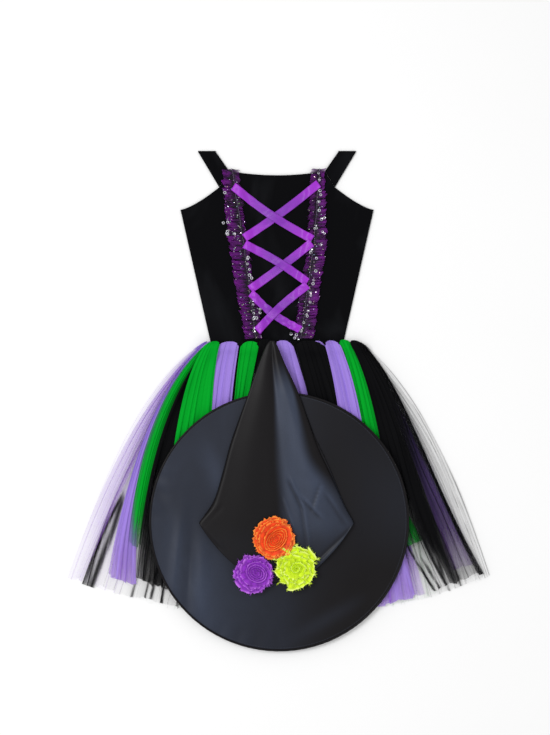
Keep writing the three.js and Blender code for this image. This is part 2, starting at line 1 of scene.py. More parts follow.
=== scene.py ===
"""A child's witch costume laid flat on a table.

A velvet bodice with sequined organza frills and satin lacing, a skirt of tulle strips, and a satin hat
pressed flat on the skirt with three frayed rosettes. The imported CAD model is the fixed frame: every
piece is made over its node, in millimetres from the middle of the waist seam, and kept in metres.
"""

import math
from collections import namedtuple
from types import SimpleNamespace

import bpy
import numpy as np
from bpy.props import FloatProperty, FloatVectorProperty, IntProperty, PointerProperty
from bpy.types import NodeSocket, Operator, Panel, PropertyGroup
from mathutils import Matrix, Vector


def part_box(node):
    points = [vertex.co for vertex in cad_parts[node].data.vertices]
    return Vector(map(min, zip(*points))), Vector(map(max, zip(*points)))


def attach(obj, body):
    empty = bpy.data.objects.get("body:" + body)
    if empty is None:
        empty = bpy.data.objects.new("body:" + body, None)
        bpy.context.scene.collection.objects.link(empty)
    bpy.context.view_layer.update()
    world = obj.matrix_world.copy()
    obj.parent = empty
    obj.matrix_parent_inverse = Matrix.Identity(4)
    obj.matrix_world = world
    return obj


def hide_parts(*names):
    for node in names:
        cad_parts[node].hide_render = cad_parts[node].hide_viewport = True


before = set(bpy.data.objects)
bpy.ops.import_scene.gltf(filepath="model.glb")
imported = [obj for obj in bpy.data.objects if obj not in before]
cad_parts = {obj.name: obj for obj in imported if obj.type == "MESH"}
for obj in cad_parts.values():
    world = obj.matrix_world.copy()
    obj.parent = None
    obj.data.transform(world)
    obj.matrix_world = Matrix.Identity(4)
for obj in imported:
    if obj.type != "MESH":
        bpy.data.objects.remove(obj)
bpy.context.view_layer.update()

bl_info = {
    "name": "Witch costume",
    "version": (1, 0, 0),
    "blender": (4, 5, 0),
    "location": "View3D > Sidebar > Costume",
    "description": "Makes the cloth, trimmings and studio of a witch costume laid flat",
    "category": "Object",
}

MM = 0.001
FULL_TURN = 6.28

# The waist seam's middle, from which the garment is measured
BODICE_LOW, BODICE_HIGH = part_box("bodice_front")
MIDDLE_X = (BODICE_LOW.x + BODICE_HIGH.x) / 2
WAIST_Y = BODICE_LOW.y


def linear(red, green, blue):
    """A colour on the 0 to 255 scale of a dye chart, as the linear colour that a shader takes."""
    parts = np.array([red, green, blue]) / 255
    return tuple(np.where(parts <= 0.04045, parts / 12.92, ((parts + 0.055) / 1.055) ** 2.4).tolist())


def colour_property(name, description, chart):
    """A colour setting, whose default comes from a dye chart."""
    return FloatVectorProperty(
        name=name, description=description, subtype="COLOR", size=3, min=0, max=1, default=linear(*chart)
    )


def length_property(name, description, millimetres):
    """A length setting with its default in millimetres."""
    return FloatProperty(
        name=name, description=description, subtype="DISTANCE", unit="LENGTH", min=0, default=millimetres * MM
    )


class CostumeBodice(PropertyGroup):
    velvet: colour_property("Velvet", "Colour of the pile", (11, 11, 13))
    # Painted sheen: the lighter colour painted where the brushed pile would catch the light
    nap: colour_property("Nap", "Colour where the pile is brushed up", (30, 31, 34))
    thickness: length_property("Thickness", "Thickness of the stretch velvet", 1.2)
    puff: length_property("Puff", "How far the front stands off the back", 2)
    crease: length_property("Crease", "Depth of the soft creases", 0.7)


class CostumeFrills(PropertyGroup):
    organza: colour_property("Organza", "Colour of one layer of organza", (134, 24, 158))
    # Painted shade: the colour that the organza is darkened to down in the gathers
    shade: colour_property("Shade", "Colour down in the gathers", (16, 4, 22))
    sequin: colour_property("Sequin", "Colour of the cup sequins", (238, 238, 246))
    thread: colour_property("Thread", "Colour of the gathering thread", (168, 140, 190))
    sequin_width: length_property("Sequin width", "Width of a cup sequin", 4.6)
    glitter_width: length_property("Glitter width", "Width of a loose spangle", 1.1)
    glitter: IntProperty(name="Glitter", description="Spangles on each frill", default=110, min=0)


class CostumeLacing(PropertyGroup):
    satin: colour_property("Satin", "Colour of the ribbon in the middle", (128, 36, 180))
    # Painted sheen: the brighter colour that the satin is painted near the ribbon's ends
    end_sheen: colour_property("Glow", "Colour of the ribbon near its ends", (170, 34, 214))
    width: length_property("Width", "Width of the ribbon", 12)
    thickness: length_property("Thickness", "Thickness of the ribbon", 0.45)


class CostumeSkirt(PropertyGroup):
    lilac: colour_property("Lilac", "Colour of the lilac tulle", (152, 124, 210))
    green: colour_property("Green", "Colour of the green tulle", (0, 156, 38))
    black: colour_property("Black", "Colour of the black tulle", (9, 9, 11))
    fold_height: length_property("Fold height", "How high a fold stands", 0.9)
    hem_rag: length_property("Hem rag", "How far the cut ends differ in length", 5)
    seed: IntProperty(name="Seed", description="Seed of the folds", default=11)


class CostumeHat(PropertyGroup):
    satin: colour_property("Satin", "Colour of the hat's satin", (18, 16, 18))
    # Painted sheen: the colour that the satin is painted where a highlight lies on it
    sheen: colour_property("Sheen", "Colour of the satin where it is pressed smooth", (62, 70, 88))
    brim_thickness: length_property("Brim thickness", "Thickness of the stiffened brim", 1.3)
    crown_thickness: length_property("Crown thickness", "Thickness of the satin crown", 0.7)
    trough: length_property("Trough", "Depth of the soft troughs in the brim", 2.6)


class CostumeRosettes(PropertyGroup):
    orange: colour_property("Orange", "Colour of the orange chiffon", (255, 74, 6))
    purple: colour_property("Purple", "Colour of the purple chiffon", (150, 44, 200))
    lime: colour_property("Lime", "Colour of the lime chiffon", (224, 255, 20))
    thread_length: length_property("Thread length", "Length of the frayed threads", 3.4)


class CostumeStage(PropertyGroup):
    lens: FloatProperty(name="Lens", description="Focal length", subtype="DISTANCE_CAMERA", default=135)
    key: FloatProperty(name="Key light", description="Power of the soft box", subtype="POWER", default=30)
    fill: FloatProperty(name="Fill light", description="Power of the fill", subtype="POWER", default=10)
    daylight: FloatProperty(name="Daylight", description="Strength of the white surround", default=0.66)


def mix(a, b, share):
    """From a at a share of 0 to b at a share of 1."""
    return a + (b - a) * share


def smooth(t):
    """An eased step from 0 to 1."""
    t = np.clip(t, 0, 1)
    return t * t * (3 - 2 * t)


def hump(t, middle, width):
    """A round bump that is 1 high."""
    return np.exp(-(((t - middle) / width) ** 2))


def ripple(rng, count, lowest, highest):
    """A smooth function of one share, from -1 to 1 or so, that never repeats evenly."""
    pace = rng.uniform(lowest, highest, count)
    phase = rng.uniform(0, 2 * math.pi, count)
    size = rng.uniform(0.5, 1, count) / math.sqrt(count)

    def wave(t):
        return (size * np.sin(2 * math.pi * pace * np.asarray(t)[..., None] + phase)).sum(-1)

    return wave


class Pile:
    """How high the cloth laid so far reaches, over a 1 mm grid of the table.

    STEP is how closely a cloth is followed, REACH how far one bridges a dip, and GAP the air under it.
    """

    LEFT, LOW, COLUMNS, ROWS = -345, -465, 691, 771
    STEP = 0.6
    REACH = 4
    GAP = 0.3

    def __init__(self):
        self.top = np.zeros((self.ROWS, self.COLUMNS))

    def cell(self, points):
        """The row and column of the pile under each point."""
        column = np.clip(np.rint(points[..., 0]).astype(int) - self.LEFT, 0, self.COLUMNS - 1)
        row = np.clip(np.rint(points[..., 1]).astype(int) - self.LOW, 0, self.ROWS - 1)
        return row, column

    def heap(self, grid, wall=0.0):
        """Raises the pile to a cloth's upper side, which is a wall above its grid."""
        grid = grid + np.array([0, 0, wall])
        for axis in (0, 1):
            longest = np.linalg.norm(np.diff(grid[..., :2], axis=axis), axis=-1).max()
            parts = max(1, math.ceil(longest / self.STEP))
            at = np.arange((grid.shape[axis] - 1) * parts + 1) / parts
            low = np.minimum(at.astype(int), grid.shape[axis] - 2)
            share = (at - low).reshape((-1, 1, 1) if axis == 0 else (1, -1, 1))
            grid = mix(grid.take(low, axis), grid.take(low + 1, axis), share)
        np.maximum.at(self.top, self.cell(grid), grid[..., 2])

    def drape(self, reach=REACH):
        """The height at which a cloth rests on the pile, stretched smoothly over its edges."""
        height = self.top
        for axis in (0, 1):
            height = np.max([np.roll(height, k, axis) for k in range(-reach, reach + 1)], axis=0)
        for axis in (0, 1):
            height = np.mean([np.roll(height, k, axis) for k in range(-reach, reach + 1)], axis=0)
        return height

    def under(self, plan, reach=REACH):
        """The resting height below each point of a plan."""
        height = self.drape(reach)
        x = np.clip(plan[..., 0] - self.LEFT, 0, self.COLUMNS - 2)
        y = np.clip(plan[..., 1] - self.LOW, 0, self.ROWS - 2)
        i, j = y.astype(int), x.astype(int)
        v, u = y - i, x - j
        low = mix(height[i, j], height[i, j + 1], u)
        high = mix(height[i + 1, j], height[i + 1, j + 1], u)
        return mix(low, high, v) + self.GAP


pile = Pile()


# Meshes
def grid_faces(rows, columns, closed=False):
    """Four-sided faces over a grid, which may close round its columns."""
    index = np.arange(rows * columns).reshape(rows, columns)
    if closed:
        index = np.hstack([index, index[:, :1]])
    corners = [index[:-1, :-1], index[1:, :-1], index[1:, 1:], index[:-1, 1:]]
    return np.stack(corners, axis=-1).reshape(-1, 4)


def flat_grid(x, y):
    """Points on the table, whose heights are set later."""
    return np.stack([x, y, 0 * x], axis=-1)


def linked(name, data):
    """An object in the scene that shows data."""
    made = bpy.data.objects.new(name, data)
    bpy.context.scene.collection.objects.link(made)
    return made


def new_object(name, points, edges=(), faces=()):
    """An object at the origin, from points in millimetres from the waist seam's middle."""
    place = np.asarray(points, float).reshape(-1, 3) * MM + np.array([MIDDLE_X, WAIST_Y, 0])
    mesh = bpy.data.meshes.new(name)
    mesh.from_pydata(place.tolist(), list(edges), np.asarray(faces).tolist())
    return linked(name, mesh)


def set_values(mesh, values):
    """Keeps a number or an arrow for each point under each name."""
    for label, numbers in (values or {}).items():
        arrows = np.ndim(numbers) == 2
        made = mesh.attributes.new(label, "FLOAT_VECTOR" if arrows else "FLOAT", "POINT")
        made.data.foreach_set("vector" if arrows else "value", np.asarray(numbers, np.float32).ravel())


def new_piece(name, points, faces, material, uv=None, values=None):
    """A smooth mesh, with its cloth's own measure as its UV map."""
    piece = new_object(name, points, faces=faces)
    mesh = piece.data
    mesh.materials.append(material)
    mesh.shade_smooth()
    if uv is not None:
        corner = np.zeros(len(mesh.loops), np.int32)
        mesh.loops.foreach_get("vertex_index", corner)
        layer = mesh.uv_layers.new(name="Cloth")
        layer.data.foreach_set("uv", np.asarray(uv, np.float32).reshape(-1, 2)[corner].ravel())
    set_values(mesh, values)
    return piece


def steps(grid, axis):
    """The distance from each row or column of a grid to the next."""
    return np.linalg.norm(np.diff(grid, axis=axis), axis=2)


def grid_uv(grid):
    """The cloth's own measure in metres along its rows and columns."""
    u = np.hstack([np.zeros((len(grid), 1)), steps(grid, 1).cumsum(1)])
    v = np.vstack([np.zeros((1, grid.shape[1])), steps(grid, 0).cumsum(0)])
    return np.stack([np.broadcast_to(u.mean(0), u.shape), v.mean(1)[:, None] + 0 * u], axis=-1) * MM


def cloth(name, grid, material, values=None, closed=False):
    """A piece from a grid of points. values has a number for each point under each name."""
    faces = grid_faces(*grid.shape[:2], closed)
    flat = {label: numbers.ravel() for label, numbers in (values or {}).items()}
    return new_piece(name, grid, faces, material, grid_uv(grid), flat)


def thicken(piece, thickness, offset=1.0):
    """Gives a piece a wall: above it at an offset of 1, below at -1."""
    wall = piece.modifiers.new("Wall", "SOLIDIFY")
    wall.thickness = thickness
    wall.offset = offset
    wall.use_even_offset = False
    return piece


def cut_of(grid, closed=False, frayed=False):
    """Width, length and area in metres of the flat cloth that a grid was made from.

    A frayed edge ripples, so the mean length of a frayed cloth counts.
    """
    if closed:
        grid = np.hstack([grid, grid[:, :1]])
    width = steps(grid, 1).sum(1).max() * MM
    lengths = steps(grid, 0).sum(0) * MM
    length = lengths.mean() if frayed else lengths.max()
    down, across = np.diff(grid, axis=0), np.diff(grid, axis=1)
    corners = (down[:, :-1], across[:-1]), (across[1:], down[:, 1:])
    halves = [np.linalg.norm(np.cross(a, b), axis=-1).sum() / 2 for a, b in corners]
    return (width, length), float(sum(halves) * MM * MM)


def finish_piece(piece, slot, *nodes):
    """Hangs a piece on the root body and hides the CAD nodes that it replaces. The slot is not used."""
    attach(piece, "root")
    if nodes:
        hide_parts(*nodes)
    return piece


def finish_cloth(piece, grid, held, rests_on, slot, *nodes, closed=False, frayed=False):
    flat, area = cut_of(grid, closed, frayed)
    finish_piece(piece, slot, *nodes)
    return piece


# Node trees
def add_node(tree, kind, inputs=None, **settings):
    """A node with its settings. Each input is a value or another node's socket."""
    made = tree.nodes.new(kind)
    for name, value in settings.items():
        setattr(made, name, value)
    for socket, value in (inputs or {}).items():
        if isinstance(value, NodeSocket):
            tree.links.new(value, made.inputs[socket])
        else:
            made.inputs[socket].default_value = value
    return made


def math_node(tree, operation, first, second=0.0, third=0.0, clamp=False):
    inputs = {0: first, 1: second, 2: third}
    return add_node(tree, "ShaderNodeMath", inputs, operation=operation, use_clamp=clamp).outputs[0]


def new_material(name, roughness=0.6, **sockets):
    """A Principled material. Words in a socket's name are joined by underscores."""
    material = bpy.data.materials.new(name)
    material.use_nodes = True
    tree = material.node_tree
    shader = tree.nodes["Principled BSDF"]
    shader.inputs["Roughness"].default_value = roughness
    for label, value in sockets.items():
        shader.inputs[label.replace("_", " ")].default_value = value
    return material, tree, shader


def wire(tree, shader, **sockets):
    """Links values to a shader's sockets, which are named as in new_material."""
    for label, value in sockets.items():
        tree.links.new(value, shader.inputs[label.replace("_", " ")])


def times(colour, share):
    """A colour made darker or lighter."""
    return tuple(share * part for part in colour)


def object_place(tree):
    return add_node(tree, "ShaderNodeTexCoord").outputs["Object"]


def cloth_place(tree):
    return add_node(tree, "ShaderNodeTexCoord").outputs["UV"]


def attribute(tree, name):
    """The number that a mesh keeps for each point under a name."""
    return add_node(tree, "ShaderNodeAttribute", attribute_name=name).outputs["Fac"]


def noise(tree, vector, scale, detail=2.0, roughness=0.5, distortion=0.0):
    inputs = {"Vector": vector, "Scale": scale, "Detail": detail, "Roughness": roughness}
    inputs["Distortion"] = distortion
    return add_node(tree, "ShaderNodeTexNoise", inputs).outputs["Fac"]


def streaks(tree, place, scale, detail=2.0, roughness=0.5, distortion=0.0):
    """Noise with its own scale along each axis of the place."""
    drawn = add_node(tree, "ShaderNodeMapping", {"Vector": place, "Scale": scale}).outputs[0]
    return noise(tree, drawn, 1.0, detail, roughness, distortion)


def spread_range(tree, value, low, high, to_low=0.0, to_high=1.0):
    """A value moved from one range to another."""
    inputs = {"Value": value, "From Min": low, "From Max": high, "To Min": to_low, "To Max": to_high}
    return add_node(tree, "ShaderNodeMapRange", inputs).outputs["Result"]


def blend_colours(tree, share, first, second):
    """Two colours mixed by a share. Each is a socket or has three parts."""
    first, second = (c if isinstance(c, NodeSocket) else (*c, 1.0) for c in (first, second))
    return add_node(tree, "ShaderNodeMix", {0: share, 6: first, 7: second}, data_type="RGBA").outputs[2]


def bump(tree, height, strength, distance):
    inputs = {"Height": height, "Strength": strength, "Distance": distance}
    return add_node(tree, "ShaderNodeBump", inputs).outputs["Normal"]


def tree_group(name, **inputs):
    """A geometry tree with named inputs and their defaults, and its input and output nodes."""
    tree = bpy.data.node_groups.new(name, "GeometryNodeTree")
    tree.interface.new_socket("Geometry", in_out="INPUT", socket_type="NodeSocketGeometry")
    for label, default in inputs.items():
        kind = "NodeSocketInt" if isinstance(default, int) else "NodeSocketFloat"
        tree.interface.new_socket(label, in_out="INPUT", socket_type=kind).default_value = default
    tree.interface.new_socket("Geometry", in_out="OUTPUT", socket_type="NodeSocketGeometry")
    return tree, tree.nodes.new("NodeGroupInput"), tree.nodes.new("NodeGroupOutput")


def random_tilt(tree, tip, seed=0):
    """A random tilt of up to tip either way, turned anyhow about the upright."""
    inputs = {0: (-tip, -tip, 0), 1: (tip, tip, FULL_TURN), "Seed": seed}
    return add_node(tree, "FunctionNodeRandomValue", inputs, data_type="FLOAT_VECTOR").outputs[0]


def random_size(tree, least, seed):
    """A random size between a least share and full."""
    inputs = {2: least, 3: 1.0, "Seed": seed}
    return add_node(tree, "FunctionNodeRandomValue", inputs, data_type="FLOAT").outputs[1]


def tangent(tree):
    """The way that a line runs at each of its points."""
    return add_node(tree, "GeometryNodeInputTangent").outputs[0]


def turned_along(tree, way):
    """The turn that lays a form's length along a way."""
    return add_node(tree, "FunctionNodeAlignRotationToVector", {"Vector": way}, axis="Z").outputs[0]


def instances(tree, points, form, turn, size=(1, 1, 1)):
    """A copy of a form at each point."""
    inputs = {"Points": points, "Instance": form, "Rotation": turn, "Scale": size}
    return add_node(tree, "GeometryNodeInstanceOnPoints", inputs).outputs[0]


def close_tree(tree, last, instances, material):
    """Makes the instances real and gives them a material."""
    real = add_node(tree, "GeometryNodeRealizeInstances", {"Geometry": instances})
    painted = add_node(tree, "GeometryNodeSetMaterial", {"Geometry": real.outputs[0], "Material": material})
    tree.links.new(painted.outputs[0], last.inputs["Geometry"])


def grow(base, tree, sizes, name):
    """Runs a geometry tree on a base mesh and keeps the result as a plain mesh."""
    modifier = base.modifiers.new(tree.name, "NODES")
    modifier.node_group = tree
    sockets = {s.name: s.identifier for s in tree.interface.items_tree if s.in_out == "INPUT"}
    for label, value in sizes.items():
        modifier[sockets[label]] = value
    bpy.context.view_layer.update()
    depsgraph = bpy.context.evaluated_depsgraph_get()
    mesh = bpy.data.meshes.new_from_object(base.evaluated_get(depsgraph), depsgraph=depsgraph)
    base.modifiers.remove(modifier)
    mesh.name = name
    piece = linked(name, mesh)
    bpy.data.objects.remove(base)
    if not len(mesh.polygons):
        raise RuntimeError(f"{name} came out empty")
    return piece


def point_mesh(name, points, values=None, edges=()):
    """Loose points, or a line of them, for a geometry tree to work on."""
    base = new_object(name, points, edges=edges)
    set_values(base.data, values)
    return base


# The bodice
BODICE = SimpleNamespace(
    waist_half=94.0,
    underarm_half=137.0,
    underarm_y=189.0,
    armhole_half=82.0,
    armhole_y=221.0,
    neck_half=68.0,
    neck_y=244.0,
    front_dip=6.0,
    back_dip=14.0,
    neck_hem=8.0,
    armhole_scoop=1.38,
    neck_hem_width=1.1,
    neck_hem_depth=0.35,
    neck_hem_ends=0.6,
)
STRAP = SimpleNamespace(top_y=272.6, inner_top=87.0, outer_top=112.0, lead_x=0.3, lead_y=0.4)


def top_edge(x, dip):
    """The upper edge: a dipped neckline, straight shoulders and scooped armholes."""
    out = np.abs(x)
    neck = BODICE.neck_y - dip * (1 - (out / BODICE.neck_half) ** 2)
    shoulder = np.interp(out, [BODICE.neck_half, BODICE.armhole_half], [BODICE.neck_y, BODICE.armhole_y])
    inward = (BODICE.underarm_half - out) / (BODICE.underarm_half - BODICE.armhole_half)
    scooped = np.clip(inward, 0, 1) ** BODICE.armhole_scoop
    armhole = mix(BODICE.underarm_y, BODICE.armhole_y, scooped)
    return np.where(out <= BODICE.neck_half, neck, np.where(out <= BODICE.armhole_half, shoulder, armhole))


def bodice_plan(dip, ups):
    """Rows run down from the neckline, and a column runs through each corner."""
    corners = np.array([BODICE.neck_half, BODICE.armhole_half]) / BODICE.underarm_half
    half = np.unique(np.concatenate([np.linspace(0, 1, 61), corners]))
    across = np.concatenate([-half[:0:-1], half])
    u, up = np.meshgrid(across, ups[::-1])
    x = BODICE.underarm_half * u
    y = top_edge(x, dip) * up
    return flat_grid(mix(BODICE.waist_half * u, x, up), y), u, up


def velvet_material(sizes):
    """Velvet with a fine grain, and a painted sheen that makes it lighter in patches where the pile is
    brushed.
    """
    nap = {"Specular_IOR_Level": 0.04, "Sheen_Weight": 0.012, "Sheen_Roughness": 0.4}
    material, tree, shader = new_material("Black velvet", 0.95, **nap)
    place = object_place(tree)
    patches = streaks(tree, place, (14, 7, 14), 3.0, 0.55, 0.6)
    # Painted sheen: patches where the pile is brushed are painted lighter, towards the nap sheen colour
    brushed = spread_range(tree, patches, 0.5, 0.78)
    pile_grain = noise(tree, place, 1400.0, 2.0)
    grain = spread_range(tree, pile_grain, 0.3, 0.75, 0.55, 1.0)
    share = math_node(tree, "MULTIPLY", brushed, grain)
    colour = blend_colours(tree, share, sizes.velvet, sizes.nap)
    wire(tree, shader, Base_Color=colour, Normal=bump(tree, pile_grain, 0.35, 0.0006))
    return material


class COSTUME_OT_bodice(Operator):
    """Make the velvet front, back and straps"""

    bl_idname = "costume.bodice"
    bl_label = "Bodice"

    def execute(self, context):
        sizes = context.scene.costume_bodice
        material = velvet_material(sizes)
        wall = sizes.thickness / MM
        ups = np.concatenate([np.linspace(0, 0.9, 60), np.linspace(0.91, 1, 16)])
        back, _, _ = bodice_plan(BODICE.back_dip, ups)
        self.panel("velvet_back", back, wall, ["floor"], sizes, material, "bodice_back")
        front, u, up = bodice_plan(BODICE.front_dip, ups)
        below = top_edge(BODICE.underarm_half * u, BODICE.front_dip) - front[..., 1]
        hem = hump(below, BODICE.neck_hem, BODICE.neck_hem_width) * (np.abs(u) < BODICE.neck_hem_ends)
        front[..., 2] = pile.under(front) + self.swell(u, up, sizes) - BODICE.neck_hem_depth * hem
        front[..., 2] = np.maximum(front[..., 2], wall + 0.2)
        self.panel("velvet_front", front, wall, ["velvet_back"], sizes, material, "bodice_front")
        for side, name in ((-1, "left"), (1, "right")):
            self.strap(side, name, wall, sizes, material)
        return {"FINISHED"}

    def panel(self, name, grid, wall, rests_on, sizes, material, node):
        """One velvet panel, laid on the pile."""
        piece = thicken(cloth(name, grid, material), sizes.thickness)
        finish_cloth(piece, grid, "laid", rests_on, "velvet", node)
        pile.heap(grid, wall)

    def swell(self, u, up, sizes):
        """The front stands off the back in the middle and has long soft creases."""
        rng = np.random.default_rng(5)
        crease = ripple(rng, 5, 0.6, 2.4)(up * 0.9 + 0.25 * u) * ripple(rng, 4, 0.5, 1.6)(u + 0.2 * up)
        edge = (1 - u**2) * np.sin(math.pi * np.clip(up, 0, 1)) ** 0.7
        puff = sizes.puff / MM * (1 - u**2) * np.sin(math.pi * up)
        return puff + sizes.crease / MM * (crease + 0.6) * edge

    def strap(self, side, name, wall, sizes, material):
        """A band up from the front that folds over a straight edge and goes down to the back."""
        rise, bend_steps = 14, 13
        radius = (wall + 0.4) / 2
        lead = np.array([STRAP.lead_x, STRAP.lead_y])
        root = np.array([[BODICE.neck_half, BODICE.neck_y], [BODICE.armhole_half, BODICE.armhole_y]])
        top_y = STRAP.top_y - radius - wall / 2
        tip = np.array([[STRAP.inner_top, top_y], [STRAP.outer_top, top_y]])
        over, under = np.full(rise, 90.0), np.full(rise, -90.0)
        turn = np.radians(np.concatenate([over, np.linspace(90, -90, bend_steps), under]))
        at = np.concatenate([np.linspace(0, 1, rise), np.ones(bend_steps), np.linspace(1, 0, rise)])
        across = np.linspace(0, 1, 13)
        low = wall / 2 + radius
        edge = mix((root + lead)[None], tip[None], at[:, None, None])
        flat = mix(edge[:, :1], edge[:, 1:], across[None, :, None])
        crown = 0.35 * np.sin(math.pi * across)[None] * np.sin(math.pi * at)[:, None] * (turn > 0)[:, None]
        x = side * flat[..., 0]
        y = flat[..., 1] + (radius * np.cos(turn))[:, None]
        z = low + (radius * np.sin(turn))[:, None] + crown
        grid = np.stack([x, y, z], axis=-1)
        if side > 0:
            grid = grid[:, ::-1]
        piece = thicken(cloth(f"strap_{name}_band", grid, material), sizes.thickness, 0.0)
        finish_cloth(piece, grid, "folded", ["velvet_front"], "velvet", f"strap_{name}")
        pile.heap(grid, wall / 2)


# The frills. stitch, outer and inner are a frill's stitch line and the widths of its two flounces, in
# millimetres at the heights FRILL_Y, and cups where its sequins sit from the middle and the waist seam.
FRILL_Y = (247.0, 146.0, 7.0)
FRILL_WAVES = 31
FRILL_WALL = 0.1
FRILL_RISE = 5.2
LOOSE_CUPS = 6
LOOSE_SPREAD = 3
FRILLS = {
    "left": SimpleNamespace(
        side=-1,
        seed=3,
        stitch=(64, 48, 30),
        outer=(14, 21, 16),
        inner=(9, 6, 9),
        cups=[
            (74, 213), (70, 171), (70, 158), (70, 154), (41, 121), (42, 112), (39, 104), (39, 96), (36, 92),
            (35, 66), (35, 60), (34, 54), (24, 48), (24, 43), (33, 42), (32, 36), (20, 29), (33, 21),
            (33, 17),
        ],
    ),
    "right": SimpleNamespace(
        side=1,
        seed=8,
        stitch=(60, 53, 34),
        outer=(7, 17, 17),
        inner=(12, 9, 11),
        cups=[
            (59, 241), (60, 231), (61, 216), (62, 210), (58, 200), (60, 188), (63, 175), (55, 167), (56, 163),
            (67, 155), (62, 139), (48, 132), (48, 128), (56, 120), (55, 102), (52, 89), (51, 84), (47, 72),
            (48, 67), (47, 58), (44, 45), (42, 40), (38, 29), (35, 21), (34, 17), (20, 13), (30, 6), (25, 7),
        ],
    ),
}


class COSTUME_OT_frills(Operator):
    """Make the two gathered organza frills, their stitches, sequins and spangles"""

    bl_idname = "costume.frills"
    bl_label = "Frills"

    def execute(self, context):
        sizes = context.scene.costume_frills
        organza = self.organza(sizes)
        for name, frill in FRILLS.items():
            grid, depth, cover = self.gathered(frill)
            piece = cloth(f"frill_{name}", grid, organza, {"gather": depth, "cover": cover})
            finish_cloth(piece, grid, "gathered", ["velvet_front"], "organza", f"ruffle_{name}")
            pile.heap(grid, FRILL_WALL)
            self.spangles(piece, name, sizes, frill.seed)
            self.thread(frill, name, sizes)
            self.cups(frill, name, sizes)
        return {"FINISHED"}

    def organza(self, sizes):
        """Sheer organza, with painted shade down in the gathers."""
        material, tree, shader = new_material("Purple organza", 0.5, Specular_IOR_Level=0.2)
        place = cloth_place(tree)
        streak = streaks(tree, place, (110, 420, 1), 4.0, 0.65)
        # Painted shade: the lower a point lies in the gathers, the nearer its colour comes to the shade
        # colour
        gather = math_node(tree, "SUBTRACT", attribute(tree, "gather"), 0.86)
        depth = math_node(tree, "MULTIPLY_ADD", streak, 1.5, gather, clamp=True)
        cover = math_node(tree, "SUBTRACT", attribute(tree, "cover"), 0.12)
        wire(
            tree,
            shader,
            Base_Color=blend_colours(tree, depth, sizes.shade, sizes.organza),
            Alpha=math_node(tree, "MULTIPLY_ADD", streak, 0.25, cover, clamp=True),
            Normal=bump(tree, noise(tree, place, 900.0, 3.0), 0.5, 0.0005),
        )
        return material

    def along(self, widths, y):
        """A value given at the heights FRILL_Y."""
        return np.interp(-y, -np.array(FRILL_Y), widths)

    def gathered(self, frill):
        """The frill's points, how far each stands up out of the gathers, which sets their painted shade, and
        how dense it is there.
        """
        rng = np.random.default_rng(frill.seed)
        t = np.linspace(0, 1, 560)
        out = np.array([1, 0.92, 0.8, 0.64, 0.47, 0.3, 0.14, 0, -0.15, -0.32, -0.5, -0.68, -0.85, -1])[None]

        def waver(*how):
            return ripple(rng, *how)(t)[:, None]

        line = mix(FRILL_Y[0], FRILL_Y[-1], t[:, None])
        slant = 0.45 * waver(5, 3, 11) * out
        turns = FRILL_WAVES * t[:, None] + 0.8 * waver(5, 2, 8) + slant
        fine = waver(7, 44, 90)
        coarse = waver(6, 9, 26)
        outer = out > 0
        width = np.where(outer, self.along(frill.outer, line), self.along(frill.inner, line))
        full = np.abs(out)
        tucked = turns + np.where(outer, 0.0, 0.25)
        wave = 0.75 * np.sin(2 * math.pi * tucked) + 0.35 * np.sin(2 * math.pi * (1.7 * turns + 1.3 * out))
        sway = full * (1.2 * np.sin(2 * math.pi * (tucked + 0.18)) + 1.3 * coarse + 0.9 * fine)
        slide = full * (1.4 * np.cos(2 * math.pi * tucked) + 0.9 * fine)
        stitch = self.along(frill.stitch, line) + 0.8 * waver(3, 1, 3)
        x = stitch + width * out + sway
        y = line + slide + 0 * out
        stand = np.where(outer, 1, 0.75)
        rise = (1.7 * (1 + wave) + 0.8 * (1 + coarse) + 0.7 * (1 + fine)) * full**0.8 * stand
        grid = flat_grid(frill.side * x, y)
        grid[..., 2] = np.maximum(pile.under(grid, 3), 0.3) + rise + 0.15
        # How high a point stands, which sets its painted shade
        depth = np.clip(rise / FRILL_RISE, 0, 1)
        cover = np.clip(0.95 - 0.5 * full**2, 0, 1) + 0 * rise
        # Columns run outwards on the left and inwards on the right, so the faces look up on both
        turned = slice(None, None, -1 if frill.side > 0 else 1)
        return grid[:, turned], depth[:, turned], cover[:, turned]

    def spangles(self, frill, name, sizes, seed):
        """Loose spangles scattered over a frill."""
        material, tree, shader = new_material(f"Spangles {name}", 0.25, Metallic=0.85)
        cell = add_node(tree, "ShaderNodeTexVoronoi", {"Vector": object_place(tree), "Scale": 420.0})
        shine = {"Saturation": 0.55, "Value": 1.25, "Color": cell.outputs["Color"]}
        wire(tree, shader, Base_Color=add_node(tree, "ShaderNodeHueSaturation", shine).outputs[0])
        group, first, last = tree_group("Scattered spangles", Width=0.001, Density=1.0, Seed=1)
        given = first.outputs
        spread = {"Mesh": given["Geometry"], "Density": given["Density"], "Seed": given["Seed"]}
        scatter = add_node(group, "GeometryNodeDistributePointsOnFaces", spread)
        radius = math_node(group, "DIVIDE", given["Width"], 2.0)
        disc = add_node(group, "GeometryNodeMeshCircle", {"Vertices": 6, "Radius": radius}, fill_type="NGON")
        lifted = {"Geometry": disc.outputs[0], "Translation": (0, 0, 0.5 * MM)}
        form = add_node(group, "GeometryNodeTransform", lifted).outputs[0]
        placed = instances(group, scatter.outputs["Points"], form, random_tilt(group, 0.5))
        close_tree(group, last, placed, material)
        base = linked("spangle_base", frill.data.copy())
        density = sizes.glitter / sum(face.area for face in base.data.polygons)
        values = {"Width": sizes.glitter_width, "Density": density, "Seed": seed}
        finish_piece(grow(base, group, values, f"spangles_{name}"), "organza")

